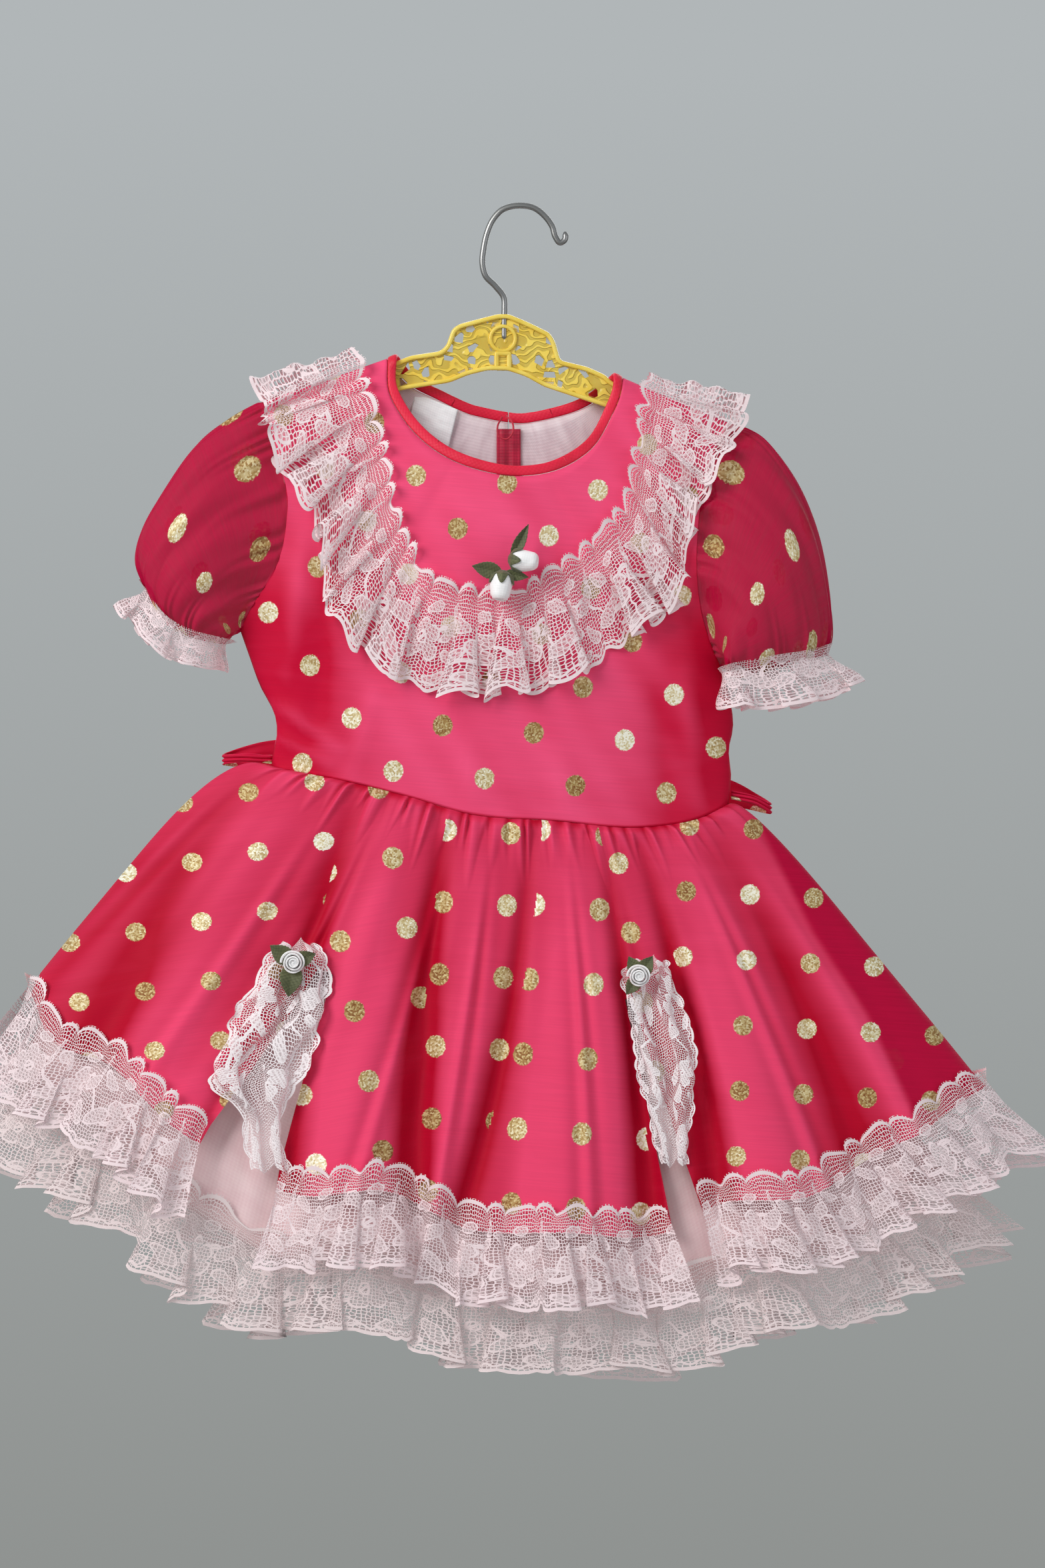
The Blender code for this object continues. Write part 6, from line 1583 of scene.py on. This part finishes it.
# %% Plastics and wire
def moulded_plastic(name, light, shade, pierced):
    """Glossy plastic with faint flow marks, and with rows of small irregular piercings if asked."""
    made, tree, shader = new_finish(name, Roughness=0.34, Subsurface_Weight=0.08, Coat_Weight=0.15)
    place = add(tree, "UVMap", uv_map="flat")
    flow = add(tree, "TexNoise", {"Vector": place, "Scale": 70.0, "Detail": 3.0}, noise_dimensions="2D")
    mottle = add(tree, "MapRange", {"Value": flow, "From Min": 0.35, "From Max": 0.65})
    colour = add(tree, "MixRGB", {"Fac": mottle, "Color1": hex_colour(shade), "Color2": hex_colour(light)})
    if not pierced:
        tree.links.new(colour, shader["Base Color"])
        return made
    cells = add(tree, "TexVoronoi", {"Vector": place, "Scale": 165.0, "Randomness": 0.8},
                voronoi_dimensions="2D", feature="DISTANCE_TO_EDGE")
    kind = add(tree, "TexVoronoi", {"Vector": place, "Scale": 165.0, "Randomness": 0.8}, output="Color",
               voronoi_dimensions="2D")
    draw = add(tree, "SeparateColor", {"Color": kind})
    open_cell = add(tree, "Math", {0: draw, 1: 0.6}, operation="GREATER_THAN")
    hole = add(tree, "MapRange", {"Value": cells, "From Min": 0.15, "From Max": 0.19})
    cut = add(tree, "Math", {0: hole, 1: open_cell}, operation="MULTIPLY")
    middle = add(tree, "Attribute", output="Fac", attribute_name="middle")
    opened = add(tree, "Math", {0: cut, 1: middle}, operation="MULTIPLY")
    solid = add(tree, "Math", {0: 1.0, 1: opened}, operation="SUBTRACT", use_clamp=True)
    tree.links.new(solid, shader["Alpha"])
    scroll = add(tree, "TexWave", {"Vector": place, "Scale": 60.0, "Distortion": 14.0, "Detail": 1.0,
                                   "Detail Scale": 1.6}, output=1, wave_type="RINGS")
    ridge = add(tree, "MapRange", {"Value": scroll, "From Min": 0.35, "From Max": 0.7})
    # Painted shade and light: the scroll's hollows are darkened and its ridges lightened, beside the bump.
    deep = add(tree, "MapRange", {"Value": ridge, "To Min": 0.72, "To Max": 1.05})
    shaded = add(tree, "MixRGB", {"Fac": 1.0, "Color1": colour, "Color2": deep}, blend_type="MULTIPLY")
    tree.links.new(shaded, shader["Base Color"])
    relief = add(tree, "Bump", {"Height": ridge, "Strength": 0.8, "Distance": 0.0008})
    tree.links.new(relief, shader["Normal"])
    return made


yellow_plastic = moulded_plastic("yellow_moulded_plastic", "#FBDE68", "#F3CE4C", False)
pierced_plastic = moulded_plastic("yellow_pierced_web", "#FADA60", "#F0C846", True)
button_plastic = moulded_plastic("white_button_plastic", "#F7F4F0", "#ECE7E2", False)
steel_wire, tree, shader = new_finish("drawn_steel_wire", Metallic=1.0, Roughness=0.38)
place = add(tree, "UVMap", uv_map="flat")
drawn = add(tree, "Mapping", {"Vector": place, "Scale": (1500.0, 20.0, 1.0)})
streak = add(tree, "TexNoise", {"Vector": drawn, "Scale": 1.0, "Detail": 2.0}, noise_dimensions="2D")
tone = add(tree, "MixRGB", {"Fac": streak, "Color1": hex_colour("#77777A"),
                            "Color2": hex_colour("#A9A8A4")})
tree.links.new(tone, shader["Base Color"])

BUTTON_PROFILE = [(0.2, 0.0), (4.6, 0.2), (5.5, 0.9), (5.3, 1.5), (3.6, 2.1), (1.6, 2.35), (0.1, 2.4)]
BUTTON_HEIGHTS = (-126.0, -213.0, -264.0)
for number, z in enumerate(BUTTON_HEIGHTS, start=1):
    offsets = np.array([-5.0, 0.0, 5.0])
    rest = outermost(OPENING_X + offsets, z + offsets, [back], 1, 3.0).max()
    button = lathe(BUTTON_PROFILE, (OPENING_X, rest + 0.6, z), (0, 1, 0), 40, 26)
    surface(f"button_{number}_dome", button, button_plastic, [f"button_{number}"],
            ring=True)

# %% [markdown]
# The hanger is a raised rim round a thin web with scrolls, a ring in the middle, and a wire hook
# through a post. The rim, the ring and the post are rounded bars carried along closed paths. The
# web fills the outline from its lower to its upper edge, and the wire is a tube along its route.

# %% Hanger
HANGER_TOP = [(-129, -103.6), (-100, -93.5), (-72, -83.8), (-66.5, -82), (-60, -79.4), (-44, -77),
              (-40.6, -73.8), (-37.7, -65.2), (-33.9, -62.4), (-24, -59.8), (-12.7, -56.9),
              (-6.9, -56.9), (4, -61.5), (15.2, -67), (18.1, -71.6), (21, -81.9), (35.4, -85.4),
              (45, -89.6), (49, -93.4), (75, -103.2), (102, -114.6)]
HANGER_BOTTOM = [(98, -127.5), (70, -117), (44.2, -106.9), (12.3, -96.3), (1.9, -90.6),
                 (-7.8, -87.4), (-18.5, -87.4), (-29, -90), (-38.8, -94), (-62.9, -97.8),
                 (-95, -105.5), (-124, -115)]
RIM = 1.3
RIM_HALF_DEPTH = 2.7
WEB_THICKNESS = 1.8
RING_CENTRE = (-10.1, -70.2)
RING_RADIUS = 6.7
HOOK_WIRE = 1.65
HOOK_ROUTE = [(-9.4, -71), (-9.4, -60), (-9.2, -54), (-9.6, -48), (-14, -42), (-19.6, -36),
              (-21.1, -30), (-20.4, -21), (-18.4, -12.5), (-15.2, -5.6), (-10.4, -0.6), (-5, 1.3),
              (0, 1.65), (6.6, 0.4), (12.8, -4.3), (16.6, -9.7), (18.4, -15.4), (20.8, -18.4),
              (23.4, -16.8), (23.6, -12.4)]


def bar(path, half_width, half_depth, steps=20):
    """Rounded bar along a closed flat path of (x, z): a squared ellipse, square to the path."""
    path = np.asarray(path, float)
    way = np.roll(path, -1, axis=0) - np.roll(path, 1, axis=0)
    way = np.stack([way[:, 0], 0 * way[:, 0], way[:, 1]], 1)
    side = unit(np.cross(way, (0.0, 1.0, 0.0)))
    angle = np.linspace(0, 2 * math.pi, steps, endpoint=False)
    across = np.sign(np.cos(angle)) * np.abs(np.cos(angle)) ** 0.6
    deep = np.sign(np.sin(angle)) * np.abs(np.sin(angle)) ** 0.6
    centre = np.stack([path[:, 0], 0 * path[:, 0], path[:, 1]], 1)
    points = centre[:, None] + side[:, None] * (half_width * across)[:, None]
    points[..., 1] += half_depth * deep
    return points


outline = np.array(HANGER_TOP + HANGER_BOTTOM, float)
outline = np.concatenate([outline, outline[:1]])
steps = np.linalg.norm(np.diff(outline, axis=0), axis=1)
gone = np.concatenate([[0], np.cumsum(steps)])
asked = np.linspace(0, gone[-1], 420, endpoint=False)
rounded = np.stack([np.interp(asked, gone, outline[:, k]) for k in (0, 1)], 1)
for repeat in range(2):
    rounded = (np.roll(rounded, 1, axis=0) + 2 * rounded + np.roll(rounded, -1, axis=0)) / 4
way = unit(np.roll(rounded, -1, axis=0) - np.roll(rounded, 1, axis=0))
inwards = np.stack([way[:, 1], -way[:, 0]], 1)
rim = bar(rounded + inwards * RIM, RIM, RIM_HALF_DEPTH)
surface("hanger_rim", np.concatenate([rim, rim[:1]]), yellow_plastic,
        ["hanger_frame"], ring=True)

x = np.linspace(-125.5, 99, 260)[None]
top = np.interp(x, *np.array(HANGER_TOP, float).T) - RIM
bottom = np.interp(x, *np.array(HANGER_BOTTOM[::-1], float).T) + RIM
t = np.linspace(0, 1, 15)[:, None]
z = bottom + (top - bottom) * t
past_ring = ease(8.0, 9.5, np.hypot(x - RING_CENTRE[0], z - RING_CENTRE[1]))
web_mark = ease(0.0, 0.12, t) * ease(1.0, 0.88, t) * past_ring
surface("hanger_web", np.stack([x + 0 * z, 0 * z, z], -1), pierced_plastic,
        flat=np.stack([x + 0 * z, z], -1), facing=(0, -1, 0), marks={"middle": web_mark},
        thick=WEB_THICKNESS)
turn = np.linspace(0, 2 * math.pi, 48, endpoint=False)
ring_path = np.stack([RING_CENTRE[0] + RING_RADIUS * np.cos(turn),
                      RING_CENTRE[1] + RING_RADIUS * np.sin(turn)], 1)
ring = bar(ring_path, 1.1, 2.2)
surface("hanger_ring", np.concatenate([ring, ring[:1]]), yellow_plastic, ring=True)
POST = [(-14.6, -76.9), (-5.6, -76.9), (-5.6, -87.5), (-14.6, -87.5)]
POST_MIDDLE = (-10.1, -82.2)
corners = np.array(POST + POST[:1], float)
walk = np.linspace(0, 4, 64, endpoint=False)
post_path = np.stack([np.interp(walk, np.arange(5), corners[:, k]) for k in (0, 1)], 1)
post = bar(post_path + (np.array(POST_MIDDLE) - post_path) * 0.25, 1.4, 2.3)
surface("hanger_post", np.concatenate([post, post[:1]]), yellow_plastic, ring=True)

route = curve(HOOK_ROUTE, np.linspace(0, 1, 190))
route = np.stack([route[:, 0], 0 * route[:, 0], route[:, 1]], 1)
radius = HOOK_WIRE * np.sqrt(np.clip(np.minimum(np.arange(190) + 0.4, 189.4 - np.arange(190)) / 3, 0, 1))
surface("hook_wire", tube(route, radius, 20), steel_wire, ["hanger_hook"], ring=True,
        caps=True)

# %% [markdown]
# The camera stands where the eye stood. The frame is 846.7 mm high at the hanger's plane, from
# 1.5 m away. A pale grey surrounding and three broad soft lights stand for the studio: a strong
# one to the left, a weak one that fills the shadows, and one behind. A pale floor lies below.

# %% Camera, light and floor
FRAME_HEIGHT = 846.7
SENSOR = 36.0
camera = bpy.data.cameras.new("camera")
camera.sensor_width = SENSOR
camera.lens = SENSOR * EYE_DISTANCE / FRAME_HEIGHT
eye = bpy.data.objects.new("camera", camera)
eye.location = (EYE[0] * MM, -EYE_DISTANCE * MM, EYE[1] * MM)
eye.rotation_euler = (math.radians(90), 0, 0)
bpy.context.scene.collection.objects.link(eye)
bpy.context.scene.camera = eye

world = bpy.data.worlds.new("pale_room")
world.use_nodes = True
way = add(world.node_tree, "TexCoord")
height = add(world.node_tree, "SeparateXYZ", {0: way}, output=2)
rise = add(world.node_tree, "MapRange", {"Value": height, "From Min": -0.28, "From Max": 0.25})
air = add(world.node_tree, "MixRGB", {"Fac": rise, "Color1": hex_colour("#8F9290"),
                                      "Color2": hex_colour("#B1B6B8")})
world.node_tree.links.new(air, world.node_tree.nodes["Background"].inputs["Color"])
bpy.context.scene.world = world

bpy.context.scene.view_settings.view_transform = "Standard"

LIGHT_AIM = (0, 0, -0.33)
LIGHTS = [
    ("window", (-1.4, -1.3, 0.7), 1.1, 30.0, "#FFFFFF"),
    ("fill", (1.5, -1.6, 0.1), 1.4, 7.0, "#F4F6FF"),
    ("behind", (0.4, 1.6, 0.5), 1.4, 14.0, "#FFFFFF"),
]
for name, place, size, power, code in LIGHTS:
    lamp = bpy.data.lights.new(name, "AREA")
    lamp.size = size
    lamp.energy = power
    lamp.color = hex_colour(code)[:3]
    holder = bpy.data.objects.new(name, lamp)
    holder.location = place
    aim = np.array(LIGHT_AIM) - np.array(place)
    holder.rotation_euler = (math.acos(-aim[2] / np.linalg.norm(aim)), 0,
                             math.atan2(-aim[0], aim[1]))
    bpy.context.scene.collection.objects.link(holder)
    print(f"light {name}: {power:.0f} W")

FLOOR_HEIGHT = -0.95
FLOOR_RADIUS = 0.62
angle = np.linspace(0, 2 * math.pi, 64, endpoint=False)
rim = np.stack([np.cos(angle), np.sin(angle), 0 * angle], 1) * FLOOR_RADIUS + (0, 0, FLOOR_HEIGHT)
floor_mesh = bpy.data.meshes.new("floor")
floor_mesh.from_pydata(rim.tolist(), [], [list(range(64))])
floor_finish, tree, shader = new_finish("pale_painted_floor", Roughness=0.7)
where = add(tree, "TexCoord", output="Object")
speckle = add(tree, "TexNoise", {"Vector": where, "Scale": 60.0, "Detail": 4.0})
paint = add(tree, "MixRGB", {"Fac": speckle, "Color1": hex_colour("#C9CCCE"),
                             "Color2": hex_colour("#D2D5D6")})
tree.links.new(paint, shader["Base Color"])
floor_mesh.materials.append(floor_finish)
floor = bpy.data.objects.new("floor", floor_mesh)
bpy.context.scene.collection.objects.link(floor)
